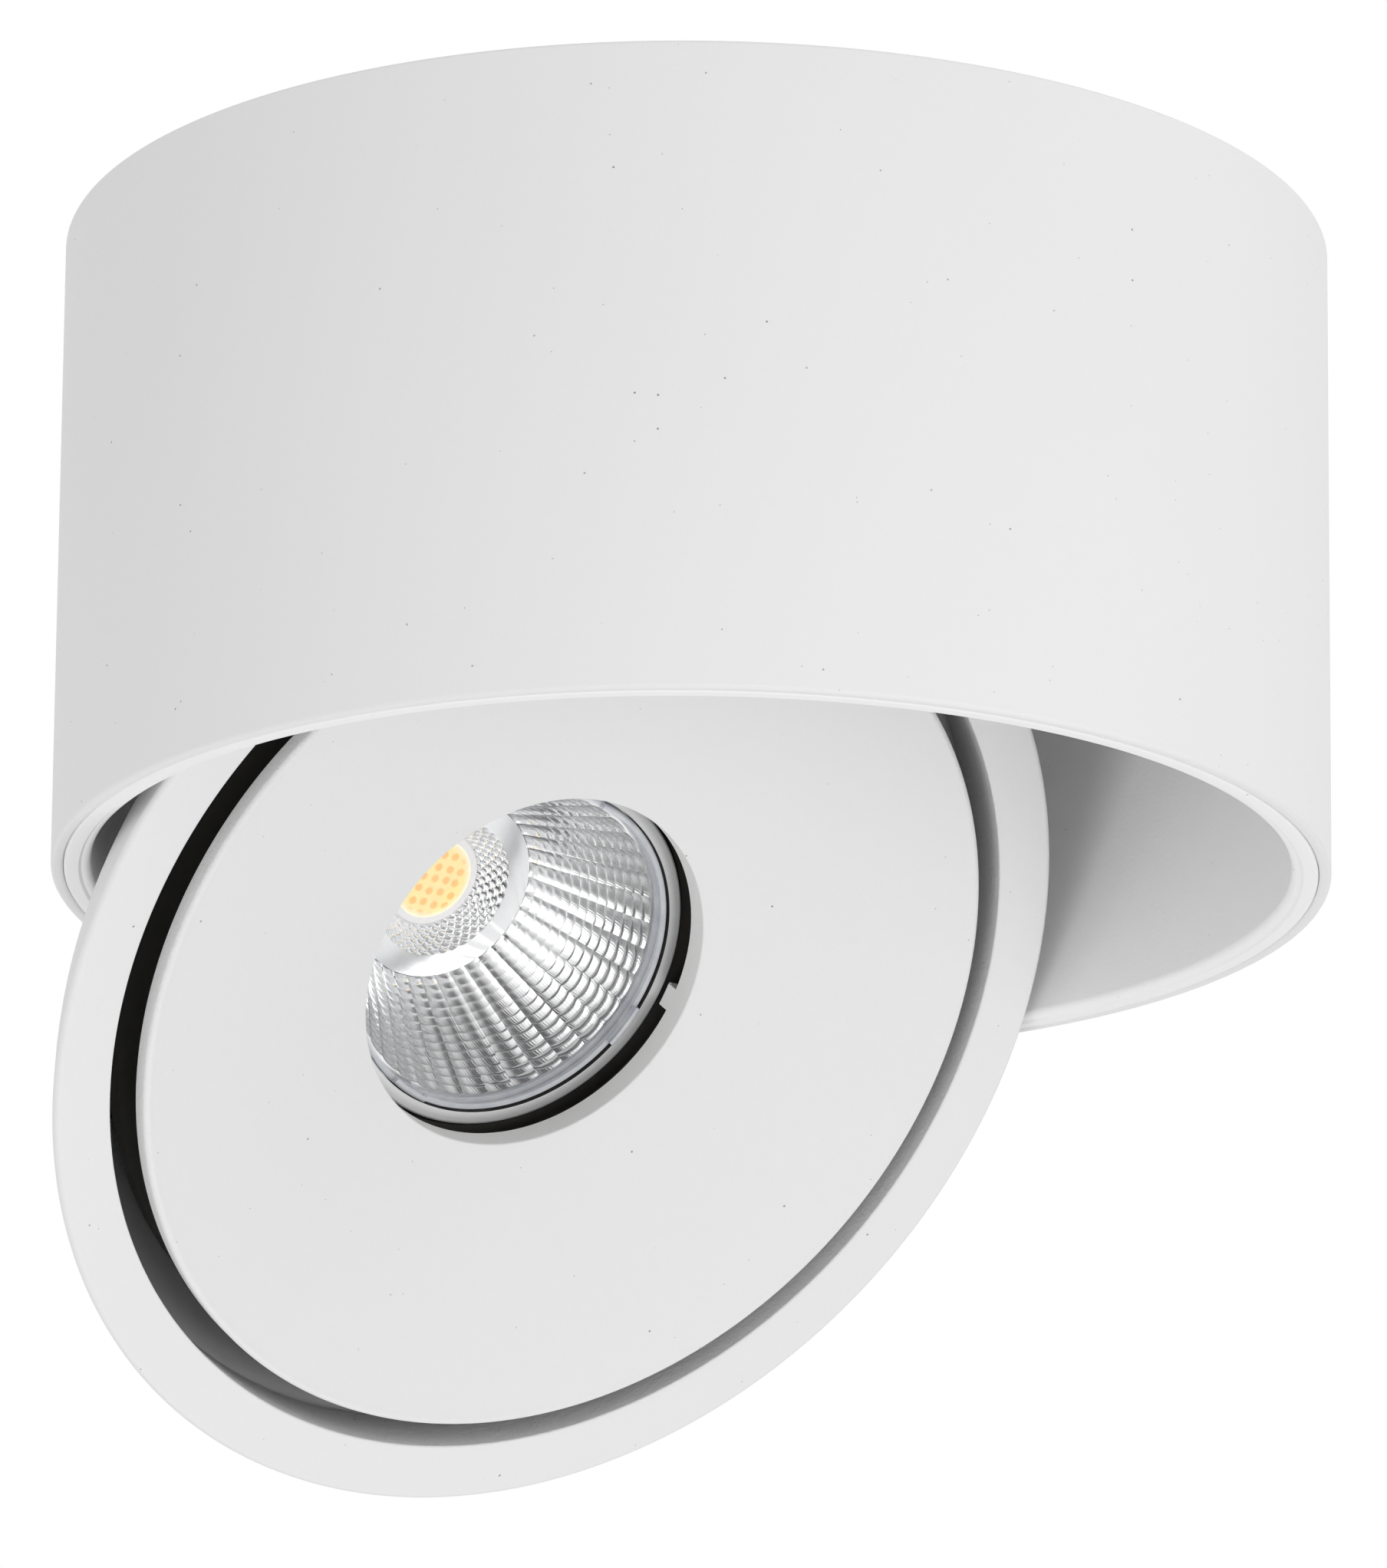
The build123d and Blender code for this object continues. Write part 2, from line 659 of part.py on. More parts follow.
# Tilt bolt: low head inside the dome, shank through the slot and the key into the saddle
bolt_seat = sqrt(washer_inner**2 - bolt_head_radius**2)
bolt_inner = bolt_seat - bolt_head_thick
with BuildPart() as tilt_bolt:
    with BuildSketch(tilt_radial(saddle_angle, bolt_inner)):
        Circle(bolt_head_radius)
    extrude(amount=bolt_head_thick)
    with BuildSketch(tilt_radial(saddle_angle, bolt_seat)):
        Circle(bolt_radius)
    extrude(amount=bolt_reach - bolt_seat)
    with BuildSketch(tilt_radial(saddle_angle, bolt_inner)):
        RegularPolygon(bolt_head_radius / 2, 6)
    extrude(amount=bolt_head_thick / 2, mode=Mode.SUBTRACT)
keep(tilt_bolt, "tilt_bolt")

# Dome: spun shell with the tilt slot and its screw holes
slot_low = saddle_angle - key_half_angle - stop_angle
slot_high = saddle_angle + key_half_angle + stop_angle
slot_start = rest_tilt - max_tilt + slot_low
slot_sweep = max_tilt + slot_high - slot_low
with BuildPart() as head_dome:
    with BuildSketch(head_section(0)):
        with BuildLine():
            outside = CenterArc((0, aim_drop), dome_radius, *sphere_arc(dome_radius, -ring_edge))
            inside = CenterArc((0, aim_drop), dome_bore, *sphere_arc(dome_bore, -ring_edge))
            Line(outside @ 0, inside @ 0)
            Line(outside @ 1, inside @ 1)
        make_face()
    revolve(axis=head_axis)
    with BuildSketch(tilt_section(slot_start)):
        with Locations((0, dome_radius)):
            Rectangle(key_width + 2 * slide_gap, 4 * dome_wall)
    revolve(axis=tilt_axis, revolution_arc=slot_sweep, mode=Mode.SUBTRACT)
    for place in dome_screw_angles:
        with BuildSketch(dome_radial(place, dome_bore - dome_wall)):
            Circle(small_screw_radius + screw_clearance)
        extrude(amount=3 * dome_wall, mode=Mode.SUBTRACT)
keep(head_dome, "head_dome")

# Low-headed screws through the dome into the heat sink's posts
dome_screw_length = 3 * small_screw_head
with BuildPart() as dome_screws:
    for place in dome_screw_angles:
        with BuildSketch(dome_radial(place, dome_radius)):
            Circle(small_screw_head)
        extrude(amount=small_screw_head_thick / 2)
        with BuildSketch(dome_radial(place, dome_radius)):
            Circle(small_screw_radius)
        extrude(amount=-dome_screw_length)
        with BuildSketch(dome_radial(place, dome_radius + small_screw_head_thick / 2)):
            RegularPolygon(small_screw_head / 2, 6)
        extrude(amount=-small_screw_head_thick / 3, mode=Mode.SUBTRACT)
keep(dome_screws, "dome_screws")

# Face ring: white bezel whose edge runs into the dome, with a spigot inside the dome's rim
ring_back = -ring_edge
spigot_back = sphere_level(dome_bore, ring_inner + ring_spigot_wall + seat_gap)
with BuildPart() as face_ring:
    with BuildSketch(head_section(0)):
        with BuildLine():
            front = Line((ring_inner, ring_crown), (ring_radius - ring_edge_round, ring_crown))
            corner = Line(front @ 1, (ring_radius, ring_crown - ring_edge_round))
            edge = Line(corner @ 1, (sphere_width(dome_radius, ring_back), ring_back))
            seat = Line(edge @ 1, (sphere_width(dome_bore, ring_back) - seat_gap, ring_back))
            spigot = Line(seat @ 1, (sphere_width(dome_bore, spigot_back) - seat_gap, spigot_back))
            back = Line(spigot @ 1, (ring_inner, spigot_back))
            Line(back @ 1, front @ 0)
        make_face()
    revolve(axis=head_axis)
keep(face_ring, "face_ring")

# Face disc: dished white plate with the light hole, a stepped lug on the hole's wall and three bosses behind
disc_boss_angles = dome_screw_angles
boss_screw_depth = disc_edge
boss_top = disc_back - (disc_radius - disc_boss_circle) * dish_depth / (disc_radius - hole_radius)
boss_top = boss_top + disc_edge / 2
lug_root = (hole_front + hole_back) / 2
lug_end = lens_ring_front + slide_gap
lug_shoulder = lug_end + hole_lug_step
with BuildPart() as face_disc:
    with BuildSketch(head_section(0)):
        with BuildLine():
            Polyline(
                (hole_radius, hole_front),
                (disc_radius - disc_edge_round, disc_proud),
                (disc_radius, disc_proud - disc_edge_round),
                (disc_radius, disc_back),
                (hole_radius, hole_back),
                close=True,
            )
        make_face()
    revolve(axis=head_axis)
    for place in disc_boss_angles:
        with BuildSketch(head_place(disc_boss_circle, place, sink_plate_front)):
            Circle(disc_boss_radius)
        extrude(amount=boss_top - sink_plate_front)
    for place in disc_boss_angles:
        with BuildSketch(head_place(disc_boss_circle, place, sink_plate_front)):
            Circle(small_screw_radius + seat_gap)
        extrude(amount=boss_screw_depth, mode=Mode.SUBTRACT)
    with BuildSketch(head_section(hole_lug_angle - hole_lug_sweep_angle / 2)):
        with BuildLine():
            Polyline(
                (hole_radius, lug_root),
                (hole_radius + hole_lug_wall, lug_root),
                (hole_radius + hole_lug_wall, lug_end),
                (hole_radius + hole_lug_step, lug_end),
                (hole_radius + hole_lug_step, lug_shoulder),
                (hole_radius, lug_shoulder),
                close=True,
            )
        make_face()
    revolve(axis=head_axis, revolution_arc=hole_lug_sweep_angle)
keep(face_disc, "face_disc")

# Heat sink: black casting with a plate behind the face, a deep cup and fins
fin_sphere = dome_bore - fin_clearance
body_sphere = dome_bore - fin_clearance / 2
channel_half = tilt_washer_radius + 2 * slide_gap
channel_floor = bolt_inner - slide_gap
channel_spread = degrees(channel_half / dome_bore)
plate_radius = disc_radius - sink_edge_inset
fin_reach = plate_radius - sink_plate
post_root = (cup_radius + post_radius / 2) / sin(radians(dome_screw_angle))
post_reach = sqrt((dome_bore - seat_gap) ** 2 - post_radius**2)
with BuildPart() as heat_sink:
    with BuildSketch(head_section(0)):
        with BuildLine():
            Polyline(
                (0, board_bottom),
                (ledge_radius, board_bottom),
                (ledge_radius, ledge_level),
                (cup_bore, ledge_level),
                (cup_bore, cup_front),
                (cup_radius, cup_front),
                (sink_inner_circle, sink_plate_front),
                (plate_radius, sink_plate_front),
                (plate_radius, sink_plate_back),
                (sink_inner_circle, sink_plate_back),
                (cup_radius, cup_front - sink_plate),
                (cup_radius, sphere_level(body_sphere, cup_radius)),
                (sphere_width(body_sphere, cup_floor_back), cup_floor_back),
                (0, cup_floor_back),
                close=True,
            )
        make_face()
    revolve(axis=head_axis)
    fin_root = cup_radius - cup_wall / 2
    fin_low = sink_plate_back + sink_plate / 2
    fin_start = -degrees(acos(fin_root / fin_sphere))
    fin_end = -degrees(acos(fin_reach / fin_sphere))
    for fin in range(fin_count):
        with BuildSketch(head_section(fin * 360 / fin_count)):
            with BuildLine():
                curve = CenterArc((0, aim_drop), fin_sphere, fin_start, fin_end - fin_start)
                Polyline(
                    curve @ 1,
                    (fin_reach, fin_low),
                    (sink_inner_circle, fin_low),
                    (fin_root, cup_front - sink_plate / 2),
                    curve @ 0,
                )
            make_face()
        extrude(amount=fin_thick / 2, both=True)
    for place in dome_screw_angles:
        with BuildSketch(dome_radial(place, post_reach)):
            Circle(post_radius)
        extrude(amount=post_root - post_reach)
    for place in dome_screw_angles:
        with BuildSketch(dome_radial(place, dome_radius)):
            Circle(small_screw_radius + seat_gap)
        extrude(amount=-dome_screw_length, mode=Mode.SUBTRACT)
    with BuildSketch(tilt_section(slot_start - channel_spread)):
        with Locations((0, (channel_floor + dome_radius) / 2)):
            Rectangle(2 * channel_half, dome_radius - channel_floor)
    revolve(axis=tilt_axis, revolution_arc=slot_sweep + 2 * channel_spread, mode=Mode.SUBTRACT)
    for place in disc_boss_angles:
        with BuildSketch(head_place(disc_boss_circle, place, sink_plate_back)):
            Circle(small_screw_radius + screw_clearance)
        extrude(amount=sink_plate, mode=Mode.SUBTRACT)
    for side in (-1, 1):
        with BuildSketch(head_place(side * holder_screw_circle / 2, 0, board_bottom)):
            Circle(small_screw_radius + seat_gap)
        extrude(amount=-cup_floor / 2, mode=Mode.SUBTRACT)
keep(heat_sink, "heat_sink")

# Screws from behind the heat sink's plate into the bosses of the face disc
with BuildPart() as disc_screws:
    for place in disc_boss_angles:
        with BuildSketch(head_place(disc_boss_circle, place, sink_plate_back)):
            Circle(small_screw_head)
        extrude(amount=-small_screw_head_thick)
        with BuildSketch(head_place(disc_boss_circle, place, sink_plate_back)):
            Circle(small_screw_radius)
        extrude(amount=sink_plate + boss_screw_depth - seat_gap)
        with BuildSketch(head_place(disc_boss_circle, place, sink_plate_back - small_screw_head_thick)):
            RegularPolygon(small_screw_head / 2, 6)
        extrude(amount=small_screw_head_thick / 2, mode=Mode.SUBTRACT)
keep(disc_screws, "disc_screws")

# LED board with the dam that holds the phosphor
with BuildPart() as cob_board:
    with BuildSketch(face_plane.offset(board_bottom)):
        Rectangle(board_side, board_side)
    extrude(amount=board_thick)
    with BuildSketch(face_plane.offset(board_top)):
        Circle(emitter_radius + dam_width)
        Circle(emitter_radius, mode=Mode.SUBTRACT)
    extrude(amount=emitter_thick)
keep(cob_board, "cob_board")

# Light-emitting disc of phosphor inside the dam
with BuildPart() as cob_emitter:
    with BuildSketch(face_plane.offset(board_top)):
        Circle(emitter_radius)
    extrude(amount=emitter_thick)
keep(cob_emitter, "cob_emitter")

# Holder: moulded ring that clamps the board to the cup's floor and seats the reflector
with BuildPart() as cob_holder:
    with BuildSketch(face_plane.offset(board_bottom)):
        Circle(holder_radius)
        Circle(holder_bore, mode=Mode.SUBTRACT)
        for side in (-1, 1):
            with Locations((side * holder_screw_circle / 2, 0)):
                Circle(small_screw_radius + screw_clearance, mode=Mode.SUBTRACT)
    extrude(amount=holder_top - board_bottom)
    with BuildSketch(face_plane.offset(board_bottom)):
        Rectangle(board_side + 2 * seat_gap, board_side + 2 * seat_gap)
    extrude(amount=board_thick + seat_gap, mode=Mode.SUBTRACT)
    for side in (-1, 1):
        with BuildSketch(head_place(side * holder_screw_circle / 2, 0, holder_screw_seat)):
            Circle(small_screw_head + screw_clearance)
        extrude(amount=small_screw_head_thick, mode=Mode.SUBTRACT)
keep(cob_holder, "cob_holder")

# Screws sunk in the holder, into the cup's floor
with BuildPart() as holder_screws:
    for side in (-1, 1):
        with BuildSketch(head_place(side * holder_screw_circle / 2, 0, holder_screw_seat)):
            Circle(small_screw_head)
        extrude(amount=small_screw_head_thick)
        with BuildSketch(head_place(side * holder_screw_circle / 2, 0, holder_screw_seat)):
            Circle(small_screw_radius)
        extrude(amount=board_bottom - cup_floor / 2 + seat_gap - holder_screw_seat)
        with BuildSketch(head_place(side * holder_screw_circle / 2, 0, holder_top)):
            RegularPolygon(small_screw_head / 2, 6)
        extrude(amount=-small_screw_head_thick / 2, mode=Mode.SUBTRACT)
keep(holder_screws, "holder_screws")

# Collar: bright inner cone round the emitter with a flat shelf at its top
with BuildPart() as reflector_collar:
    with BuildSketch(head_section(0)):
        with BuildLine():
            Polyline(
                (collar_inner, foot_level),
                (reflector_foot - seat_gap, foot_level),
                (reflector_foot - seat_gap, board_top + seat_gap),
                (emitter_radius + dam_width + seat_gap, board_top + seat_gap),
                (emitter_radius + dam_width + seat_gap, board_top + emitter_thick / 2),
                close=True,
            )
        make_face()
    revolve(axis=head_axis)
keep(reflector_collar, "reflector_collar")

# Reflector: bright cone with a rim under the cover, a seating flange, and flutes from mouth to foot
with BuildPart() as reflector:
    with BuildSketch(head_section(0)):
        with BuildLine():
            Polyline(
                (collar_inner, lens_back),
                (lens_radius, lens_back),
                (lens_radius, lens_ring_back),
                (lens_ring_radius, lens_ring_back),
                (lens_ring_radius, ledge_level),
                (flute_mouth, ledge_level),
                (reflector_foot + reflector_wall, holder_top),
                (reflector_foot, holder_top),
                (reflector_foot, foot_level),
                (collar_inner, foot_level),
                close=True,
            )
        make_face()
    revolve(axis=head_axis)
    for level, valley in ((foot_level, reflector_foot), (lens_back, flute_mouth)):
        with BuildSketch(face_plane.offset(level)):
            with BuildLine():
                for flute in range(flute_count):
                    turn = 360 * flute / flute_count
                    half = 180 / flute_count
                    ThreePointArc(
                        flute_point(valley - flute_depth, turn - half),
                        flute_point(valley, turn),
                        flute_point(valley - flute_depth, turn + half),
                    )
            make_face()
    loft(ruled=True, mode=Mode.SUBTRACT)
keep(reflector, "reflector")

# Cover: clear disc on the reflector's rim, held by four snap tabs
with BuildPart() as cover_lens:
    with BuildSketch(face_plane.offset(lens_back)):
        Circle(lens_radius)
    extrude(amount=lens_thick)
    with BuildSketch(face_plane.offset(lens_front)):
        with PolarLocations(lens_radius - reflector_rim / 2, 4, start_angle=lens_tab_angle):
            Rectangle(reflector_rim, lens_tab)
        Circle(lens_radius, mode=Mode.INTERSECT)
    extrude(amount=lens_tab_rise)
keep(cover_lens, "cover_lens")

# Satin metal ring round the cover, seated on the reflector's flange
with BuildPart() as lens_ring:
    with BuildSketch(face_plane.offset(lens_ring_back)):
        Circle(lens_ring_radius)
        Circle(lens_ring_bore, mode=Mode.SUBTRACT)
    extrude(amount=lens_ring_height)
    fillet(lens_ring.edges().group_by(Axis(face_centre, aim))[-1], lens_ring_wall / 2.2)
keep(lens_ring, "lens_ring")
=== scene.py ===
from math import atan2, cos, hypot, pi, radians, sin, tan

import bmesh
import bpy
from mathutils import Matrix, Vector


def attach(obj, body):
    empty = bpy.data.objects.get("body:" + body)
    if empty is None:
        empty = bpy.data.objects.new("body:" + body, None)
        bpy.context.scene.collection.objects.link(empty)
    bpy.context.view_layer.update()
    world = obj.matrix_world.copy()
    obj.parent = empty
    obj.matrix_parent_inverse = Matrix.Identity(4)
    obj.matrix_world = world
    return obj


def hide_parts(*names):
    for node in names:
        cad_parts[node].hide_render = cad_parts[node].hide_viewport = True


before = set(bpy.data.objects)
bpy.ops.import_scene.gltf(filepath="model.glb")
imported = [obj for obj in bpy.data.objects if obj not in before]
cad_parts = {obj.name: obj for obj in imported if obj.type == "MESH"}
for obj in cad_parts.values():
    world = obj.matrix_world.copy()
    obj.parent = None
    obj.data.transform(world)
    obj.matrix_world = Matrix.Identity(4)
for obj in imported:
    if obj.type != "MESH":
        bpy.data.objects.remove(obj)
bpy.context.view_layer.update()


# Ceiling strip with its two mushroom studs.
# Zinc-plated sheet steel, punched flat, with the studs welded on below; two ceiling screws hold it up
# through its slots, and the can twists on to the studs.
class Tone:
    """A socket of a finish. Sums on it add Math nodes to the finish's tree."""

    def __init__(self, finish, socket):
        self.finish, self.socket = finish, socket

    def __add__(self, other):
        return self.finish.sum("ADD", self, other)

    def __radd__(self, other):
        return self.finish.sum("ADD", other, self)

    def __rsub__(self, other):
        return self.finish.sum("SUBTRACT", other, self)

    def __mul__(self, other):
        return self.finish.sum("MULTIPLY", self, other)

    def __rmul__(self, other):
        return self.finish.sum("MULTIPLY", other, self)

    def __truediv__(self, other):
        return self.finish.sum("DIVIDE", self, other)

    def __gt__(self, other):
        return self.finish.sum("GREATER_THAN", self, other)

    def __lt__(self, other):
        return self.finish.sum("LESS_THAN", self, other)

    def __getitem__(self, name):
        return Tone(self.finish, self.socket.node.outputs[name])


class Finish:
    """A material, or the world, whose nodes are added one at a time."""

    def __init__(self, name, kind=bpy.data.materials):
        self.made = kind.new(name)
        self.made.use_nodes = True
        self.tree = self.made.node_tree
        self.tree.nodes.clear()

    def node(self, kind, settings=None, *values, **sockets):
        """Adds a node with its settings, then the values or links of its sockets by number or by name."""
        made = self.tree.nodes.new(kind)
        for key, value in (settings or {}).items():
            setattr(made, key, value)
        for key, value in [*enumerate(values), *sockets.items()]:
            if isinstance(key, str):
                entry = next(i for i in made.inputs if key in (i.identifier, i.name.replace(" ", "_")))
            else:
                entry = made.inputs[key]
            if isinstance(value, Tone):
                self.tree.links.new(value.socket, entry)
            else:
                entry.default_value = value
        return Tone(self, next((o for o in made.outputs if o.enabled), None))

    def sum(self, operation, *values):
        return self.node("ShaderNodeMath", {"operation": operation}, *values)

    def where(self, stretch=(1, 1, 1)):
        """Places on the piece in metres, stretched for a pattern."""
        place = self.node("ShaderNodeTexCoord")["Object"]
        return self.node("ShaderNodeMapping", None, place, Scale=stretch)

    def noise(self, scale, detail, flat=None, stretch=(1, 1, 1), **sockets):
        """Clouds of values over the piece, or over a flat map of it."""
        settings = {"noise_dimensions": "2D" if flat else "3D"}
        place = flat or self.where(stretch)
        return self.node("ShaderNodeTexNoise", settings, place, Scale=scale, Detail=detail, **sockets)

    def fade(self, value, start, end, first=0.0, last=1.0):
        """Smooth change from a first to a last value, while another goes from its start to its end."""
        settings = {"interpolation_type": "SMOOTHSTEP"}
        return self.node("ShaderNodeMapRange", settings, value, start, end, first, last)

    def mix(self, share, first, second):
        """Colour between two others."""
        settings = {"data_type": "RGBA"}
        return self.node("ShaderNodeMix", settings, Factor_Float=share, A_Color=first, B_Color=second)

    def bump(self, height, strength, distance):
        """Normal of a surface with that height, in metres for a height of one."""
        return self.node("ShaderNodeBump", None, Strength=strength, Distance=distance, Height=height)

    def skin(self, **sockets):
        return self.node("ShaderNodeBsdfPrincipled", None, **sockets)

    def done(self, shader, output="ShaderNodeOutputMaterial"):
        self.node(output, None, shader)
        return self.made


def grey(shade):
    return (shade, shade, shade, 1)


def zinc_plate(name, shade):
    """Bright zinc on steel: small crystals, faint rolling lines and a little wear."""
    zinc = Finish(name)
    crystals = zinc.node("ShaderNodeTexVoronoi", None, zinc.where(), Scale=420.0)["Color"]
    spangle = zinc.node("ShaderNodeSeparateColor", None, crystals)["Red"]
    cloud = zinc.noise(60.0, 4.0)
    rolled = zinc.noise(1.0, 2.0, stretch=(30, 900, 900))
    shader = zinc.skin(
        Base_Color=zinc.mix(spangle * 0.3 + cloud * 0.4, (shade, shade, shade * 1.02, 1), grey(shade * 0.72)),
        Metallic=0.95,
        Roughness=0.26 + 0.14 * cloud + 0.1 * spangle,
        Normal=zinc.bump(rolled + 0.4 * cloud, 0.2, 0.00004),
    )
    return zinc.done(shader)


def coat(finish, *names):
    """Gives CAD nodes their finish."""
    for name in names:
        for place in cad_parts[name].material_slots:
            place.material = finish


strip_zinc = zinc_plate("strip_zinc", 0.62)
coat(strip_zinc, "ceiling_bracket", "bracket_studs")


# Can: the white sleeve that meets the ceiling.
# Spun aluminium with eased edges, powder coated in matt white; the coat is slightly grainy and has a few
# specks in it.
mm = 0.001


def eased(corners, bends=4):
    """Outline through corners (radius, height, rounding), in millimetres, with each rounding as an arc."""
    outline = []
    for i, (x, y, ease) in enumerate(corners):
        corner = Vector((x, y))
        back = (Vector(corners[i - 1][:2]) - corner).normalized()
        ahead = (Vector(corners[(i + 1) % len(corners)][:2]) - corner).normalized()
        if not ease:
            outline.append(corner)
            continue
        half = back.angle(ahead) / 2
        middle = corner + (back + ahead).normalized() * ease / sin(half)
        start = corner + back * ease / tan(half) - middle
        end = corner + ahead * ease / tan(half) - middle
        for k in range(bends + 1):
            outline.append(middle + start.lerp(end, k / bends).normalized() * ease)
    return outline


def lathed(outline, angles, closed=True, whole_turn=True):
    """Points and quads of an outline (radius, height), in millimetres, at each of the angles about Z."""
    points = [(x * mm * cos(angle), x * mm * sin(angle), y * mm) for angle in angles for x, y in outline]
    count, turns = len(outline), len(angles)
    quads = []
    for j in range(turns if whole_turn else turns - 1):
        here, there = j * count, (j + 1) % turns * count
        for i in range(count if closed else count - 1):
            after = (i + 1) % count
            quads.append((here + i, here + after, there + after, there + i))
    return points, quads


def all_round(steps):
    return [2 * pi * j / steps for j in range(steps)]


def smoothed(mesh, crease=35):
    """Shades a mesh smooth, with edges sharper than the crease, in degrees, left hard."""
    mesh.shade_smooth()
    mesh.set_sharp_from_angle(angle=radians(crease))
    return mesh


def turned(outline, steps, place=Matrix()):
    """Mesh of a closed outline turned about the Z axis and put in its place."""
    points, quads = lathed(outline, all_round(steps))
    mesh = bpy.data.meshes.new("turned")
    mesh.from_pydata(points, [], quads)
    shaped = bmesh.new()
    shaped.from_mesh(mesh)
    bmesh.ops.remove_doubles(shaped, verts=shaped.verts, dist=1e-7)
    bmesh.ops.recalc_face_normals(shaped, faces=shaped.faces)
    shaped.to_mesh(mesh)
    shaped.free()
    mesh.transform(place)
    return smoothed(mesh)


def settle(name, mesh, body, finish, stands_for):
    """Puts a finished mesh in the scene on its body, in place of its CAD node."""
    piece = bpy.data.objects.new(name, mesh)
    bpy.context.scene.collection.objects.link(piece)
    mesh.materials.clear()
    mesh.materials.append(finish)
    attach(piece, body)
    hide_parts(stands_for)


def white_coat(name, shade):
    """Matt white powder coat: a fine peel, coarser at marked edges, faint clouds and a few dark specks."""
    white = Finish(name)
    fine = white.noise(2300.0, 2.0, Roughness=0.6)
    broad = white.noise(620.0, 2.0)
    cloud = white.noise(35.0, 3.0)
    speck = white.node("ShaderNodeTexVoronoi", None, white.where(), Scale=650.0)
    chance = white.node("ShaderNodeSeparateColor", None, speck["Color"])["Red"]
    spot = (speck < 0.04) * (chance > 0.6) + (speck < 0.075) * (chance > 0.95)
    edge = white.node("ShaderNodeAttribute", {"attribute_name": "edge"})["Fac"]
    clean = white.mix(cloud, grey(shade * 0.985), (shade, shade, shade * 0.998, 1))
    shader = white.skin(
        Base_Color=white.mix(spot * 0.6, clean, (0.2, 0.19, 0.18, 1)),
        Roughness=0.52 + 0.1 * broad,
        Specular_IOR_Level=0.35,
        Normal=white.bump((fine + 0.7 * broad) * (1 + 2.5 * edge), 0.35, 0.00006),
    )
    return white.done(shader)


coat_shade = 0.84
round_steps = 320
can_white = white_coat("can_white", coat_shade)
can_height, can_radius, can_bore = 61.6, 59.9935, 58.8435
can_edge = [
    (can_radius, 0, 0.35),
    (can_radius, -can_height, 0.4),
    (can_bore, -can_height, 0.3),
    (can_bore, 0, 0.12),
]
settle("can", turned(eased(can_edge), round_steps), "ceiling_unit", can_white, "housing_can")


# Top plate with its keyholes, and the rubber grommet of the cable inlet.
# The plate is punched from zinc-plated steel and pressed into the can; the grommet is moulded and snaps
# into its hole.
def moulded(name, colour, rough, peel, painted_glow=0.0):
    """Moulded plastic, rubber or ceramic: an even colour with a fine eroded grain, and a painted glow where
    one is given.
    """
    plastic = Finish(name)
    grain = plastic.noise(1500.0, 2.0)
    shade = plastic.mix(plastic.noise(80.0, 3.0), tuple(c * 0.9 for c in colour) + (1,), colour + (1,))
    shader = plastic.skin(
        Base_Color=shade,
        Roughness=rough + 0.12 * grain,
        Emission_Color=shade,
        Emission_Strength=painted_glow,
        Normal=plastic.bump(grain, peel, 0.00004),
    )
    return plastic.done(shader)


coat(strip_zinc, "top_plate")
coat(moulded("grommet_rubber", (0.035, 0.035, 0.037), 0.62, 0.5), "cable_grommet")


# Deck on its three pillars, with the driver and the supply terminals on it.
# The deck is zinc-plated steel; the driver's case and the terminal block are moulded in white plastic and
# held down by small screws.
deck_zinc = zinc_plate("deck_zinc", 0.72)
coat(deck_zinc, "chassis_plate", "chassis_pillars", "driver_screws", "terminal_screws", "pan_stop")
coat(moulded("case_plastic", (0.74, 0.74, 0.72), 0.5, 0.5), "driver_case", "terminal_block")


# Liner: the white sleeve that shows inside the can's mouth, with its ring under the deck.
# Spun aluminium with a rolled lip and a fine ridge round it, in the can's coat but lighter, as painted light
# for its shaded inside; three screws hold its ring to the deck.
# Painted light: the liner's white is lighter than the can's, to brighten the shaded inside of the mouth.
liner_white = white_coat("liner_white", 0.93)
liner_fit, liner_radius, liner_bore = 58.8, 57.7435, 56.2435
liner_top, lip_level = -18.0, -61.35
liner_edge = [
    (liner_fit, -can_height, 0.3),
    (57.3935, -can_height, 0.1),
    (57.1435, lip_level, 0.1),
    (liner_bore, lip_level, 0.75),
    (liner_bore, liner_top, 0),
    (liner_radius, liner_top, 0),
    (liner_radius, -56.9, 0),
    (liner_fit, -57.6, 0),
]
liner = turned(eased(liner_edge, 6), round_steps)
settle("liner", liner, "ceiling_unit", liner_white, "inner_liner")
coat(liner_white, "liner_flange")
screw_zinc = zinc_plate("screw_zinc", 0.66)
coat(screw_zinc, "chassis_screws")


# Turning carriage under the deck, with its washers and nut, and the saddle that the head slides on.
# Pressed steel with a hollow stem; a plastic washer and a spring washer give it an even drag, and the
# saddle is an aluminium casting screwed up from above.
coat(zinc_plate("carriage_zinc", 0.58), "carriage", "pan_spring_washer", "pan_nut", "saddle_screws")
coat(moulded("slide_plastic", (0.62, 0.6, 0.52), 0.4, 0.3), "pan_washer")


def cast_metal(name, colour, metallic, rough):
    """Cast or anodised aluminium with a fine blasted skin."""
    casting = Finish(name)
    grain = casting.noise(1900.0, 3.0)
    shade = casting.mix(casting.noise(90.0, 3.0), tuple(c * 0.8 for c in colour) + (1,), colour + (1,))
    shader = casting.skin(
        Base_Color=shade,
        Metallic=metallic,
        Roughness=rough + 0.15 * grain,
        Normal=casting.bump(grain, 0.5, 0.00005),
    )
    return casting.done(shader)


coat(cast_metal("saddle_casting", (0.55, 0.55, 0.55), 0.9, 0.45), "tilt_saddle")
coat(zinc_plate("bolt_zinc", 0.6), "tilt_bolt", "tilt_washer")


# Dome: the white back of the head, with the slot that the tilt bolt runs in.
# Spun aluminium shell, coated like the can, held to the heat sink by three low-headed screws.
coat(white_coat("dome_white", coat_shade), "head_dome")
coat(screw_zinc, "dome_screws")
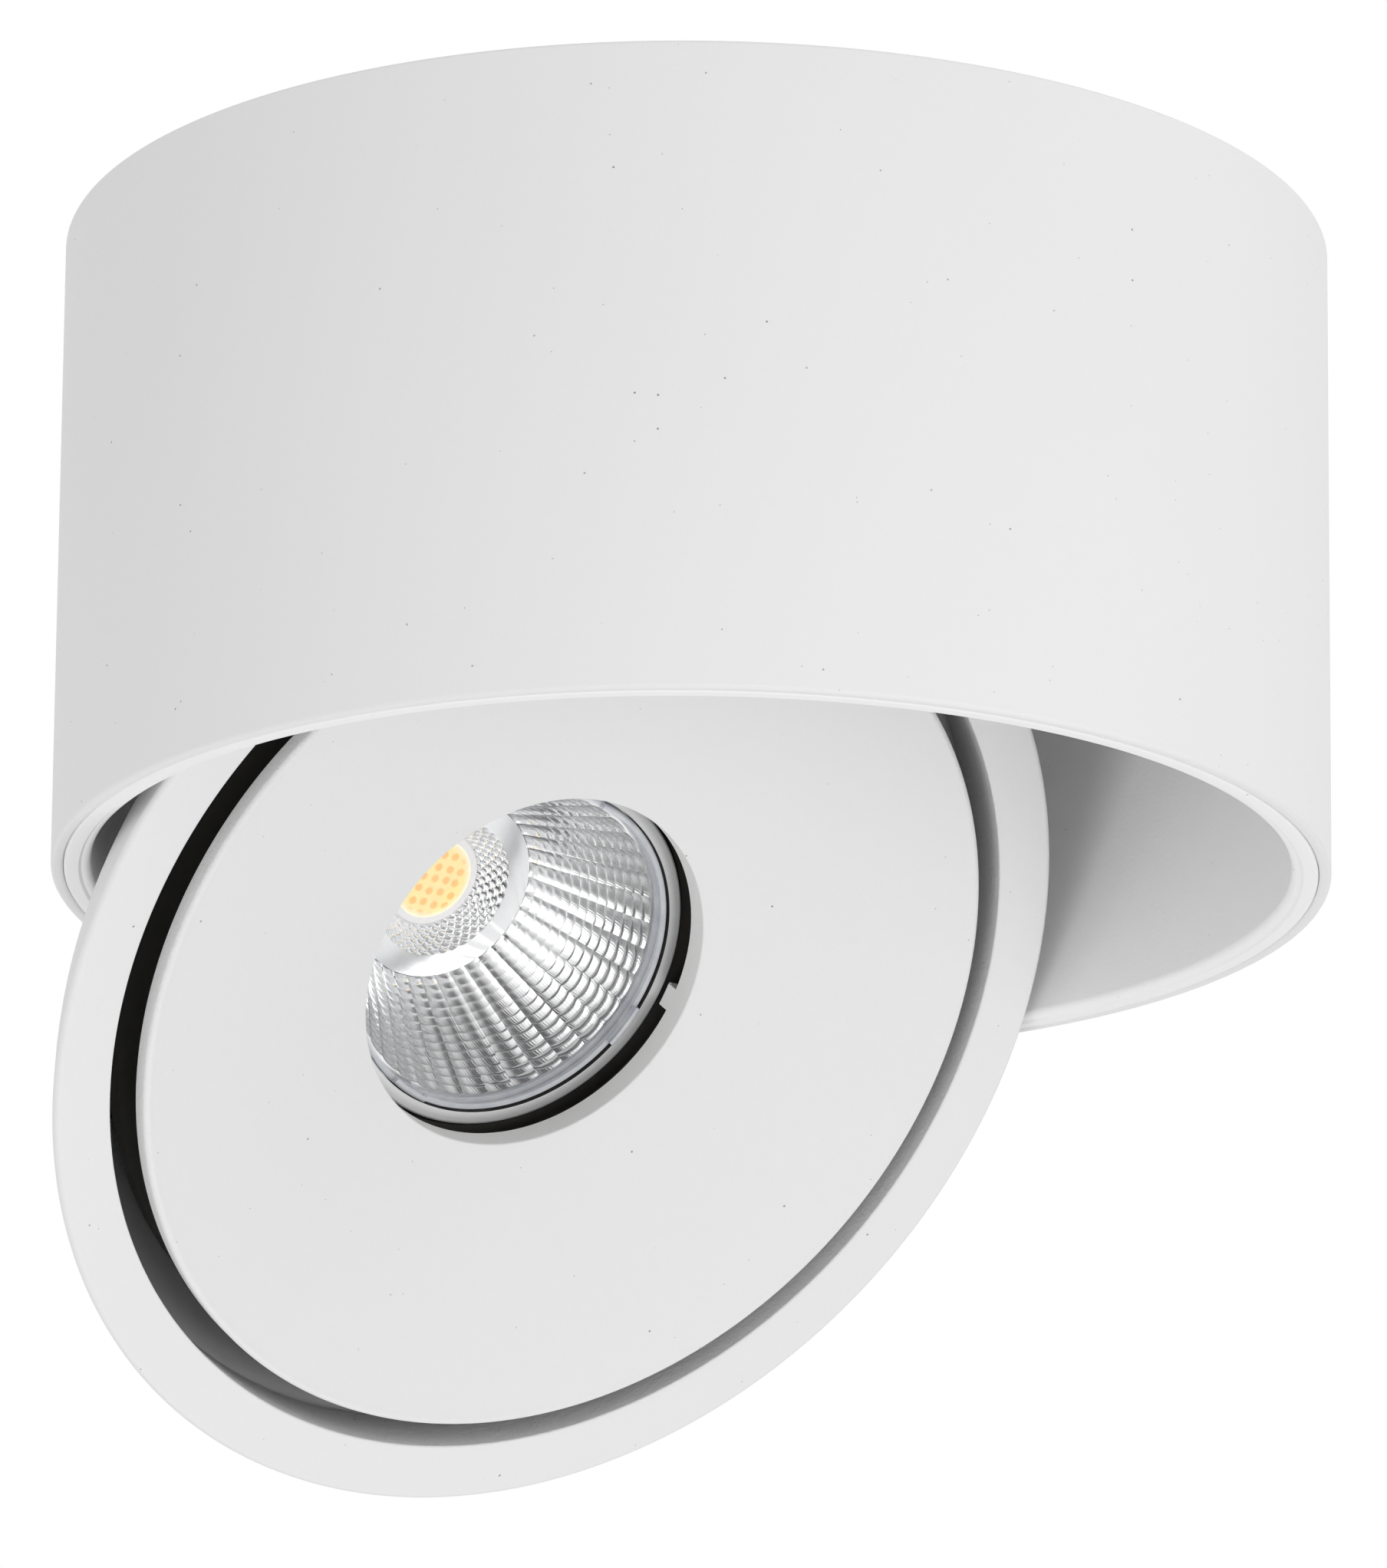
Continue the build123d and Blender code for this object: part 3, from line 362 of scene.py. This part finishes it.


# Heat sink: the casting behind the face, coloured near black as painted shade.
# Die-cast aluminium with fins and a deep cup for the light engine; its near-black colour is painted shade for
# the dark deep in the groove round the face and in the gap round the cover. Its screws come from behind.
coat(cast_metal("sink_black", (0.052, 0.05, 0.046), 0.2, 0.55), "heat_sink")
coat(screw_zinc, "disc_screws", "holder_screws")


# Light engine: the ceramic board, its holder, and the yellow light-emitting disc.
# The chips lie on a honeycomb under a filled silicone phosphor inside a pale dam; the holder is moulded and
# screwed down over the board.
tilt = radians(51.3)
aim = Vector((0, -sin(tilt), -cos(tilt)))
up_slope = Vector((0, -cos(tilt), sin(tilt)))
tilt_centre = Vector((0, 0, -0.0841075))
face_offset = 0.0249075
face_centre = tilt_centre - aim * face_offset
on_head = Matrix.Translation(face_centre) @ Matrix((Vector((1, 0, 0)), up_slope, aim)).transposed().to_4x4()
# Painted light: the ceramic board and its pale dam glow faintly, as if lit.
coat(moulded("board_ceramic", (0.88, 0.86, 0.85), 0.35, 0.2, 0.3), "cob_board")
coat(moulded("holder_plastic", (0.72, 0.72, 0.7), 0.5, 0.4), "cob_holder")


def phosphor_gel():
    """Yellow phosphor in clear silicone, with the chips showing through as deeper amber dots, and a faint
    painted glow.
    """
    gel = Finish("phosphor_gel")
    flat = gel.node("ShaderNodeUVMap", {"uv_map": "face"})
    dots = gel.node("ShaderNodeTexVoronoi", {"voronoi_dimensions": "2D"}, flat, Scale=0.78, Randomness=0.15)
    blot = gel.fade(dots, 0.2, 0.42, 1.0, 0.0)
    reach = gel.node("ShaderNodeVectorMath", {"operation": "LENGTH"}, flat)["Value"]
    rim = gel.fade(reach, 3.3, 4.1)
    cloud = gel.noise(0.9, 2.0, flat)
    body = gel.mix(blot * (1 - rim), (0.98, 0.74, 0.25, 1), (0.94, 0.47, 0.06, 1))
    colour = gel.mix(rim * 0.75 + 0.08 * cloud, body, (0.97, 0.88, 0.66, 1))
    shader = gel.skin(
        Base_Color=colour,
        Roughness=0.22 + 0.1 * cloud,
        Emission_Color=colour,
        # Painted light: the phosphor glows a little, so that it looks lit.
        Emission_Strength=0.46,
        Normal=gel.bump(cloud, 0.1, 0.00002),
    )
    return gel.done(shader)


def face_map(mesh, lay):
    """UV map that lays each corner of a mesh out from its place in millimetres."""
    flat = mesh.uv_layers.new(name="face")
    for corner in mesh.loops:
        flat.data[corner.index].uv = lay(mesh.vertices[corner.vertex_index].co / mm)


gel_back, gel_front, gel_radius = -26.46, -25.98, 4.08
gel_edge = [
    (0, gel_back),
    (0, gel_front),
    (2.4, gel_front),
    (3.9, -26.02),
    (gel_radius, -26.12),
    (gel_radius, gel_back),
]
emitter = turned(gel_edge, 96)
face_map(emitter, lambda place: place.xy)
emitter.transform(on_head)
settle("emitter", emitter, "head", phosphor_gel(), "cob_emitter")


# Reflector: the bright fluted cone and the faceted collar inside it.
# Moulded plastic metallised with aluminium; each flute is a row of small scallops that spread the beam, and
# the collar between emitter and flutes is cut in diamonds.
def bright_metal():
    """Vacuum-metallised plastic: nearly a mirror, a little hazy, and duller where it is marked matt."""
    bright = Finish("flute_bright")
    haze = bright.noise(260.0, 3.0)
    matt = bright.node("ShaderNodeAttribute", {"attribute_name": "matt"})["Fac"]
    shader = bright.skin(
        Base_Color=bright.mix(haze, (0.92, 0.925, 0.93, 1), grey(0.97)),
        Metallic=1.0,
        Roughness=0.03 + 0.03 * haze + 0.1 * matt,
        Normal=bright.bump(bright.noise(1400.0, 1.0), 0.05, 0.00002),
    )
    return bright.done(shader)


class Shaping:
    """A Geometry Nodes tree with named inputs, whose nodes are added one at a time."""

    def __init__(self, name, **inputs):
        self.tree = bpy.data.node_groups.new(name, "GeometryNodeTree")
        self.tree.interface.new_socket("Geometry", in_out="OUTPUT", socket_type="NodeSocketGeometry")
        self.sizes = inputs
        for key, value in inputs.items():
            kind = "NodeSocketInt" if isinstance(value, int) else "NodeSocketFloat"
            self.tree.interface.new_socket(key, in_out="INPUT", socket_type=kind)
        self.entry = self.tree.nodes.new("NodeGroupInput")

    def size(self, name):
        return self.entry.outputs[name]

    def node(self, kind, settings=None, *values, **sockets):
        """Adds a node with its settings, then the values or links of its sockets by number or by name."""
        made = self.tree.nodes.new(kind)
        for key, value in (settings or {}).items():
            setattr(made, key, value)
        for key, value in [*enumerate(values), *sockets.items()]:
            if isinstance(value, bpy.types.NodeSocket):
                self.tree.links.new(value, made.inputs[key])
            else:
                made.inputs[key].default_value = value
        return made.outputs[0]

    def sum(self, operation, *values):
        return self.node("ShaderNodeMath", {"operation": operation}, *values)

    def mesh(self, shape, finish):
        """The tree's result as a plain mesh."""
        real = self.node("GeometryNodeRealizeInstances", None, shape)
        painted = self.node("GeometryNodeSetMaterial", None, real, Material=finish)
        last = self.tree.nodes.new("NodeGroupOutput")
        self.tree.links.new(painted, last.inputs[0])
        carrier = bpy.data.objects.new("carrier", bpy.data.meshes.new("carrier"))
        bpy.context.scene.collection.objects.link(carrier)
        shaper = carrier.modifiers.new("shaper", "NODES")
        shaper.node_group = self.tree
        for item in self.tree.interface.items_tree:
            if item.in_out == "INPUT":
                shaper[item.identifier] = self.sizes[item.name]
        ready = carrier.evaluated_get(bpy.context.evaluated_depsgraph_get())
        made = bpy.data.meshes.new_from_object(ready)
        carrier.modifiers.remove(shaper)
        bpy.data.objects.remove(carrier)
        return made


def scalloped(name, finish, twist, steps, **sizes):
    """Cone from foot to mouth in columns and rows of shallow hollows, as a mesh about the Z axis."""
    cone = Shaping(name, **sizes)
    around = cone.sum("ADD", cone.sum("MULTIPLY", cone.size("Columns"), steps), 1)
    along = cone.sum("ADD", cone.sum("MULTIPLY", cone.size("Rows"), steps), 1)
    grid = cone.node("GeometryNodeMeshGrid", None, 1.0, 1.0, around, along)
    spot = cone.node("ShaderNodeSeparateXYZ", None, cone.node("GeometryNodeInputPosition")).node.outputs
    turn = cone.sum("ADD", spot["X"], 0.5)
    rise = cone.sum("ADD", spot["Y"], 0.5)
    column = cone.sum("MULTIPLY", turn, cone.size("Columns"))
    row = cone.sum("MULTIPLY", rise, cone.size("Rows"))
    if twist:
        column, row = (
            cone.sum("ADD", column, cone.sum("MULTIPLY", row, 0.5)),
            cone.sum("SUBTRACT", column, cone.sum("MULTIPLY", row, 0.5)),
        )
    hollows = []
    for cell, depth in ((column, "Column depth"), (row, "Row depth")):
        off = cone.sum("SUBTRACT", cone.sum("FRACT", cell), 0.5)
        steep = cone.sum("POWER", cone.sum("MULTIPLY", 2.0, cone.sum("ABSOLUTE", off)), 3.0)
        hollows.append(cone.sum("MULTIPLY", cone.sum("MULTIPLY", steep, -1.0), cone.size(depth)))
    reach = cone.sum("SUBTRACT", cone.size("Mouth radius"), cone.size("Foot radius"))
    radius = cone.sum("ADD", cone.size("Foot radius"), cone.sum("MULTIPLY", reach, rise))
    radius = cone.sum("ADD", radius, cone.sum("ADD", *hollows))
    angle = cone.sum("MULTIPLY", turn, 2 * pi)
    place = cone.node(
        "ShaderNodeCombineXYZ",
        None,
        cone.sum("MULTIPLY", radius, cone.sum("COSINE", angle)),
        cone.sum("MULTIPLY", radius, cone.sum("SINE", angle)),
        cone.sum("ADD", cone.size("Foot level"), cone.sum("MULTIPLY", rise, cone.size("Height"))),
    )
    shape = cone.node("GeometryNodeSetPosition", None, grid, Position=place)
    return cone.mesh(cone.node("GeometryNodeMergeByDistance", None, shape, Distance=0.000001), finish)


def shell(outline, steps):
    """Open outline turned about the Z axis, as the back of a cone."""
    mesh = bpy.data.meshes.new("shell")
    points, quads = lathed(outline, all_round(steps), closed=False)
    mesh.from_pydata(points, [], quads)
    return mesh


def joined(name, finish, node, front, back, steps):
    """One bright piece from its front and back about the head's axis, with their open rims joined up."""
    whole = bmesh.new()
    whole.from_mesh(front)
    shared = len(whole.verts)
    whole.from_mesh(back)
    whole.verts.index_update()
    open_rim = {v for edge in whole.edges if edge.is_boundary for v in edge.verts}
    middle = sum(v.co.z for v in open_rim) / len(open_rim)
    for upper in (True, False):
        rims = []
        for ahead in (True, False):
            rim = [v for v in open_rim if (v.co.z > middle) == upper and (v.index < shared) == ahead]
            rims.append(sorted(rim, key=lambda v: (atan2(v.co.y, v.co.x) + pi / steps) % (2 * pi)))
        near, far = rims
        for i in range(steps):
            after = (i + 1) % steps
            whole.faces.new((near[i], near[after], far[after], far[i]))
    bmesh.ops.recalc_face_normals(whole, faces=whole.faces)
    mesh = bpy.data.meshes.new(name)
    whole.to_mesh(mesh)
    whole.free()
    matt = mesh.attributes.new("matt", "FLOAT", "POINT")
    matt.data.foreach_set("value", [float(i >= shared) for i in range(len(mesh.vertices))])
    mesh.transform(on_head)
    settle(name, smoothed(mesh, 12), "head", finish, node)


flute_bright = bright_metal()
columns = 36
flute_steps, facet_steps = 6, 8
flutes = scalloped(
    "flutes",
    flute_bright,
    False,
    flute_steps,
    **{
        "Columns": columns,
        "Rows": 14,
        "Foot radius": 0.0095,
        "Mouth radius": 0.016,
        "Foot level": -0.0239,
        "Height": 0.0125,
        "Column depth": 0.00014,
        "Row depth": 0.00003,
    },
)
bezel_radius, bezel_seat = 18.35, -13.0
cone_front, flange_back, cone_foot = -11.4, -14.0, -24.4
cone_edge = [
    (17.0, cone_front),
    (17.0, bezel_seat),
    (bezel_radius, bezel_seat),
    (bezel_radius, flange_back),
    (16.0, flange_back),
    (10.7, cone_foot),
    (9.5, cone_foot),
]
cone_steps = columns * flute_steps
cone_back = shell(cone_edge, cone_steps)
joined("reflector_flutes", flute_bright, "reflector", flutes, cone_back, cone_steps)
facets = scalloped(
    "facets",
    flute_bright,
    True,
    facet_steps,
    **{
        "Columns": columns,
        "Rows": 6,
        "Foot radius": 0.0049,
        "Mouth radius": 0.00715,
        "Foot level": -0.02625,
        "Height": 0.00235,
        "Column depth": 0.0001,
        "Row depth": 0.0001,
    },
)
collar_front, collar_foot = -23.9, -26.4
collar_edge = [(7.2, collar_front), (9.4, collar_front), (9.4, collar_foot), (4.85, collar_foot)]
collar_steps = columns * facet_steps
collar_back = shell(collar_edge, collar_steps)
joined("collar_facets", flute_bright, "reflector_collar", facets, collar_back, collar_steps)


# Clear cover over the reflector, and the satin ring round it.
# The cover is moulded clear plastic with a thicker rim and four snap tabs; the ring is turned aluminium,
# brushed round its edge, and sits in the heat sink's cup.
def clear_cover():
    """Clear plastic: a rim with faint blue streaks, and gloss that grows towards the edge of view."""
    clear = Finish("clear_cover")
    flat = clear.node("ShaderNodeUVMap", {"uv_map": "face"})
    reach = clear.node("ShaderNodeVectorMath", {"operation": "LENGTH"}, flat)["Value"]
    rim = clear.fade(reach, 16.15, 16.4)
    gloss = clear.node("ShaderNodeFresnel", None, IOR=1.49)
    across = clear.node("ShaderNodeSeparateXYZ", None, flat)
    turn = clear.sum("ARCTAN2", across["Y"], across["X"])
    streaks = clear.noise(1.0, 3.0, clear.node("ShaderNodeCombineXYZ", None, turn * 9.0, reach * 0.6, 0.0))
    through = clear.node("ShaderNodeBsdfTransparent", None, grey(1))
    skin = clear.skin(
        Base_Color=clear.mix(streaks, (0.66, 0.7, 0.78, 1), grey(1)),
        Roughness=0.06 + 0.05 * streaks,
        Specular_IOR_Level=0.5,
    )
    return clear.done(clear.node("ShaderNodeMixShader", None, gloss * 0.25 + rim * 0.68, through, skin))


def swept(outline, start, sweep, steps=16):
    """Mesh of an outline (radius, height), in millimetres, swept through part of a turn about the Z axis."""
    angles = [radians(start + sweep * k / steps) for k in range(steps + 1)]
    points, quads = lathed(outline, angles, whole_turn=False)
    count = len(outline)
    ends = [tuple(range(count)), tuple(range(steps * count, (steps + 1) * count))]
    mesh = bpy.data.meshes.new("swept")
    mesh.from_pydata(points, [], ends + quads)
    return mesh


def merged(name, *meshes):
    """One smooth mesh of several closed ones."""
    whole = bmesh.new()
    for mesh in meshes:
        whole.from_mesh(mesh)
    bmesh.ops.recalc_face_normals(whole, faces=whole.faces)
    mesh = bpy.data.meshes.new(name)
    whole.to_mesh(mesh)
    whole.free()
    return smoothed(mesh)


cover_radius, cover_front = 16.93, -10.0
cover_edge = eased(
    [
        (0, cone_front, 0),
        (0, cover_front, 0),
        (cover_radius, cover_front, 0.2),
        (cover_radius, -11.39, 0.15),
    ]
)
tab_inner, tab_outer, tab_front = 16.1, 16.9, -9.3
tab_turn, tab_sweep = -16.5, 15
tab_edge = eased(
    [
        (tab_inner, -10.05, 0),
        (tab_inner, tab_front, 0.2),
        (tab_outer, tab_front, 0.3),
        (tab_outer, -10.4, 0),
    ]
)
tabs = [swept(tab_edge, tab_turn - tab_sweep / 2 + 90 * k, tab_sweep) for k in range(4)]
cover = merged("cover", turned(cover_edge, 192), *tabs)
face_map(cover, lambda place: place.xy)
cover.transform(on_head)
settle("cover", cover, "head", clear_cover(), "cover_lens")

bezel_bore, bezel_front = 17.03, -9.7
brush_lines = 9.0


def brushed_ring():
    """Satin aluminium brushed round its axis, with painted shade: near black on its bore, for the shadow in
    the gap round the cover.
    """
    satin = Finish("brushed_ring")
    round_map = satin.node("ShaderNodeUVMap", {"uv_map": "face"})
    lines = satin.noise(1.0, 3.0, round_map)
    reach = satin.node("ShaderNodeSeparateXYZ", None, round_map)["Y"] / brush_lines
    # Painted shade: the bore is coloured near black where the gap round the cover lies in shadow.
    bore_painted_shade = satin.fade(reach, bezel_bore, 17.06, 1.0, 0.0)
    shader = satin.skin(
        Base_Color=satin.mix(bore_painted_shade, satin.mix(lines, grey(0.72), grey(0.92)), grey(0.03)),
        Metallic=0.6,
        Roughness=0.42 + 0.16 * lines,
        Normal=satin.bump(lines, 0.25, 0.00003),
    )
    return satin.done(shader)


bezel_edge = eased(
    [
        (bezel_bore, bezel_seat, 0),
        (bezel_bore, bezel_front, 0.06),
        (bezel_radius, bezel_front, 0.25),
        (bezel_radius, bezel_seat, 0.1),
    ],
    8,
)
bezel = turned(bezel_edge, 256)
face_map(bezel, lambda place: (place.z * brush_lines, place.xy.length * brush_lines))
bezel.transform(on_head)
settle("cover_ring", bezel, "head", brushed_ring(), "lens_ring")


# Face: the dished white disc with the light hole, and the ring round it.
# Both are turned aluminium with eased edges under the same powder coat; the groove between them is deep and
# ends at the casting coloured near black as painted shade, to which the disc is screwed through three bosses.
hole_radius, disc_radius = 18.2, 45.0
hole_front, disc_front = -5.15, 1.7
slope = (disc_front - hole_front) / (disc_radius - hole_radius)
dish_radius = 43.9
disc_edge = [
    (hole_radius, hole_front, 0.2),
    (dish_radius, hole_front + (dish_radius - hole_radius) * slope, 0),
    (disc_radius, disc_front, 0.5),
    (disc_radius, -0.36, 0.15),
    (hole_radius, -7.65, 0.1),
]
lug_inner, lug_outer, lug_front, lug_shoulder, lug_end = 18.21, 19.4, -6.4, -8.98, -9.38
lug_edge = [
    (lug_inner, lug_front),
    (lug_outer, lug_front),
    (lug_outer, lug_end),
    (18.6, lug_end),
    (18.6, lug_shoulder),
    (lug_inner, lug_shoulder),
]
lug_start, lug_sweep = -4.7, 7.0
boss_reach, boss_radius, boss_front, boss_back = 34, 3.0, -2.5, -6.29
boss_edge = [
    (0, boss_front),
    (0, boss_back),
    (1.45, boss_back),
    (boss_radius, boss_back),
    (boss_radius, boss_front),
]
bosses = []
for angle in (30, 150, 270):
    spot = Matrix.Rotation(radians(angle), 4, "Z") @ Matrix.Translation((boss_reach * mm, 0, 0))
    bosses.append(turned(boss_edge, 48, spot))


def marked(mesh, near, far):
    """Marks where the coat is coarse: fully at one radius about the axis, and not at all at another."""
    mark = mesh.attributes.new("edge", "FLOAT", "POINT")
    for vertex in mesh.vertices:
        share = (hypot(vertex.co.x, vertex.co.y) / mm - far) / (near - far)
        mark.data[vertex.index].value = min(max(share, 0), 1)
    mesh.transform(on_head)
    return mesh


face_white = white_coat("face_white", coat_shade)
lug = swept(lug_edge, lug_start, lug_sweep)
disc_mesh = merged("disc", turned(eased(disc_edge, 6), round_steps), lug, *bosses)
settle("disc", marked(disc_mesh, 44.6, 43.95), "head", face_white, "face_disc")
ring_white = white_coat("ring_white", coat_shade)
ring_bore, ring_radius = 47.9, 54.0
ring_front, ring_back, spigot_back = 0.3, -2.0, -5.9
ring_edge = [
    (ring_bore, ring_front, 0.25),
    (ring_radius, ring_front, 0.55),
    (52.75, ring_back, 0),
    (51.33, ring_back, 0),
    (49.1, spigot_back, 0.1),
    (ring_bore, spigot_back, 0.1),
]
ring_mesh = turned(eased(ring_edge, 6), round_steps)
settle("ring", marked(ring_mesh, 47.92, 48.15), "head", ring_white, "face_ring")


# Studio: a pale floor far below, soft lamps and a white surround.
# The camera stands below the can and looks up at it, a little to one side of where the head points.
def pale_floor():
    """Matt paint with faint clouds."""
    paint = Finish("pale_floor")
    shade = paint.mix(paint.noise(3.0, 3.0), grey(0.8), grey(0.84))
    return paint.done(paint.skin(Base_Color=shade, Roughness=0.7))


floor_level = -3.75
floor_corners = [(x, y, floor_level) for x, y in ((-15, -15), (15, -15), (15, 15), (-15, 15))]
floor_mesh = bpy.data.meshes.new("floor")
floor_mesh.from_pydata(floor_corners, [], [(0, 1, 2, 3)])
floor_mesh.materials.append(pale_floor())
floor = bpy.data.objects.new("floor", floor_mesh)
bpy.context.scene.collection.objects.link(floor)
floor.visible_glossy = False

lift, swing, roll = radians(17.208), radians(38.72), radians(0.514)
forward = Vector((sin(swing) * cos(lift), cos(swing) * cos(lift), sin(lift)))
level = Vector((cos(swing), -sin(swing), 0))
upward = level.cross(forward)
right = level * cos(roll) + upward * sin(roll)
above = upward * cos(roll) - level * sin(roll)
mouth_centre = Vector((0, 0, -can_height * mm))


def surround(behind, *rooms):
    """White all round for the camera, but dimmer behind it for the coat and in the rooms for the metal."""
    air = Finish("surround", bpy.data.worlds)
    way = air.node("ShaderNodeTexCoord")["Generated"]

    def patch(centre, edge, core):
        towards = tuple(centre.normalized())
        facing = air.node("ShaderNodeVectorMath", {"operation": "DOT_PRODUCT"}, way, towards)["Value"]
        return air.fade(facing, edge, core)

    dim = 0.0
    for room in rooms:
        dim = air.sum("MAXIMUM", patch(room, 0.68, 0.9), dim)
    rays = air.node("ShaderNodeLightPath")
    seen = air.sum("MAXIMUM", rays["Is Camera Ray"], rays["Is Transmission Ray"])
    lit = air.node("ShaderNodeBackground", None, grey(1), 0.7 - 0.6 * patch(behind, 0.7, 0.95))
    shine = air.node("ShaderNodeBackground", None, grey(1), 1.0 - 0.95 * dim)
    white = air.node("ShaderNodeBackground", None, grey(1), 1.0)
    light = air.node("ShaderNodeMixShader", None, rays["Is Glossy Ray"], lit, shine)
    return air.done(air.node("ShaderNodeMixShader", None, seen, light, white), "ShaderNodeOutputWorld")


bpy.context.scene.world = surround(
    -forward * 0.95 - above * 0.27,
    -forward * 0.55 - right * 0.45 - above * 0.7,
    -forward * 0.68 + right * 0.24 + above * 0.7,
)
for name, spot, size, power in (
    ("lamp_right", right * 1.1 - forward * 0.7 - above * 0.25, 1.0, 3.0),
    ("lamp_front", right * 0.6 - forward * 1.0 - above * 0.15, 0.6, 1.5),
    ("lamp_above", right * 0.45 - forward * 0.6 + above * 1.0, 0.6, 2.0),
    ("lamp_left", -right * 0.55 - forward * 0.75 - above * 0.75, 0.6, 3.4),
    ("lamp_below", right * 0.3 - forward * 0.6 - above * 1.1, 1.4, 0.6),
):
    lamp = bpy.data.lights.new(name, "AREA")
    lamp.shape = "DISK"
    lamp.size = size
    lamp.energy = power
    holder = bpy.data.objects.new(name, lamp)
    holder.location = mouth_centre + spot
    holder.rotation_euler = (-spot).to_track_quat("-Z", "Y").to_euler()
    holder.visible_glossy = name == "lamp_right"
    bpy.context.scene.collection.objects.link(holder)

focal_pixels, picture_pixels, sensor = 16143, 2044, 36
eye = bpy.data.cameras.new("eye")
eye.lens = focal_pixels * sensor / picture_pixels
eye.sensor_width = sensor
eye.clip_start = 0.01
viewer = bpy.data.objects.new("eye", eye)
eye_distance, eye_right, eye_up = 1.16133, 0.000236, 0.0091185
stand = mouth_centre - forward * eye_distance + right * eye_right + above * eye_up
viewer.matrix_world = Matrix.Translation(stand) @ Matrix((right, above, -forward)).transposed().to_4x4()
bpy.context.scene.collection.objects.link(viewer)
bpy.context.scene.camera = viewer
bpy.context.scene.view_settings.view_transform = "Standard"
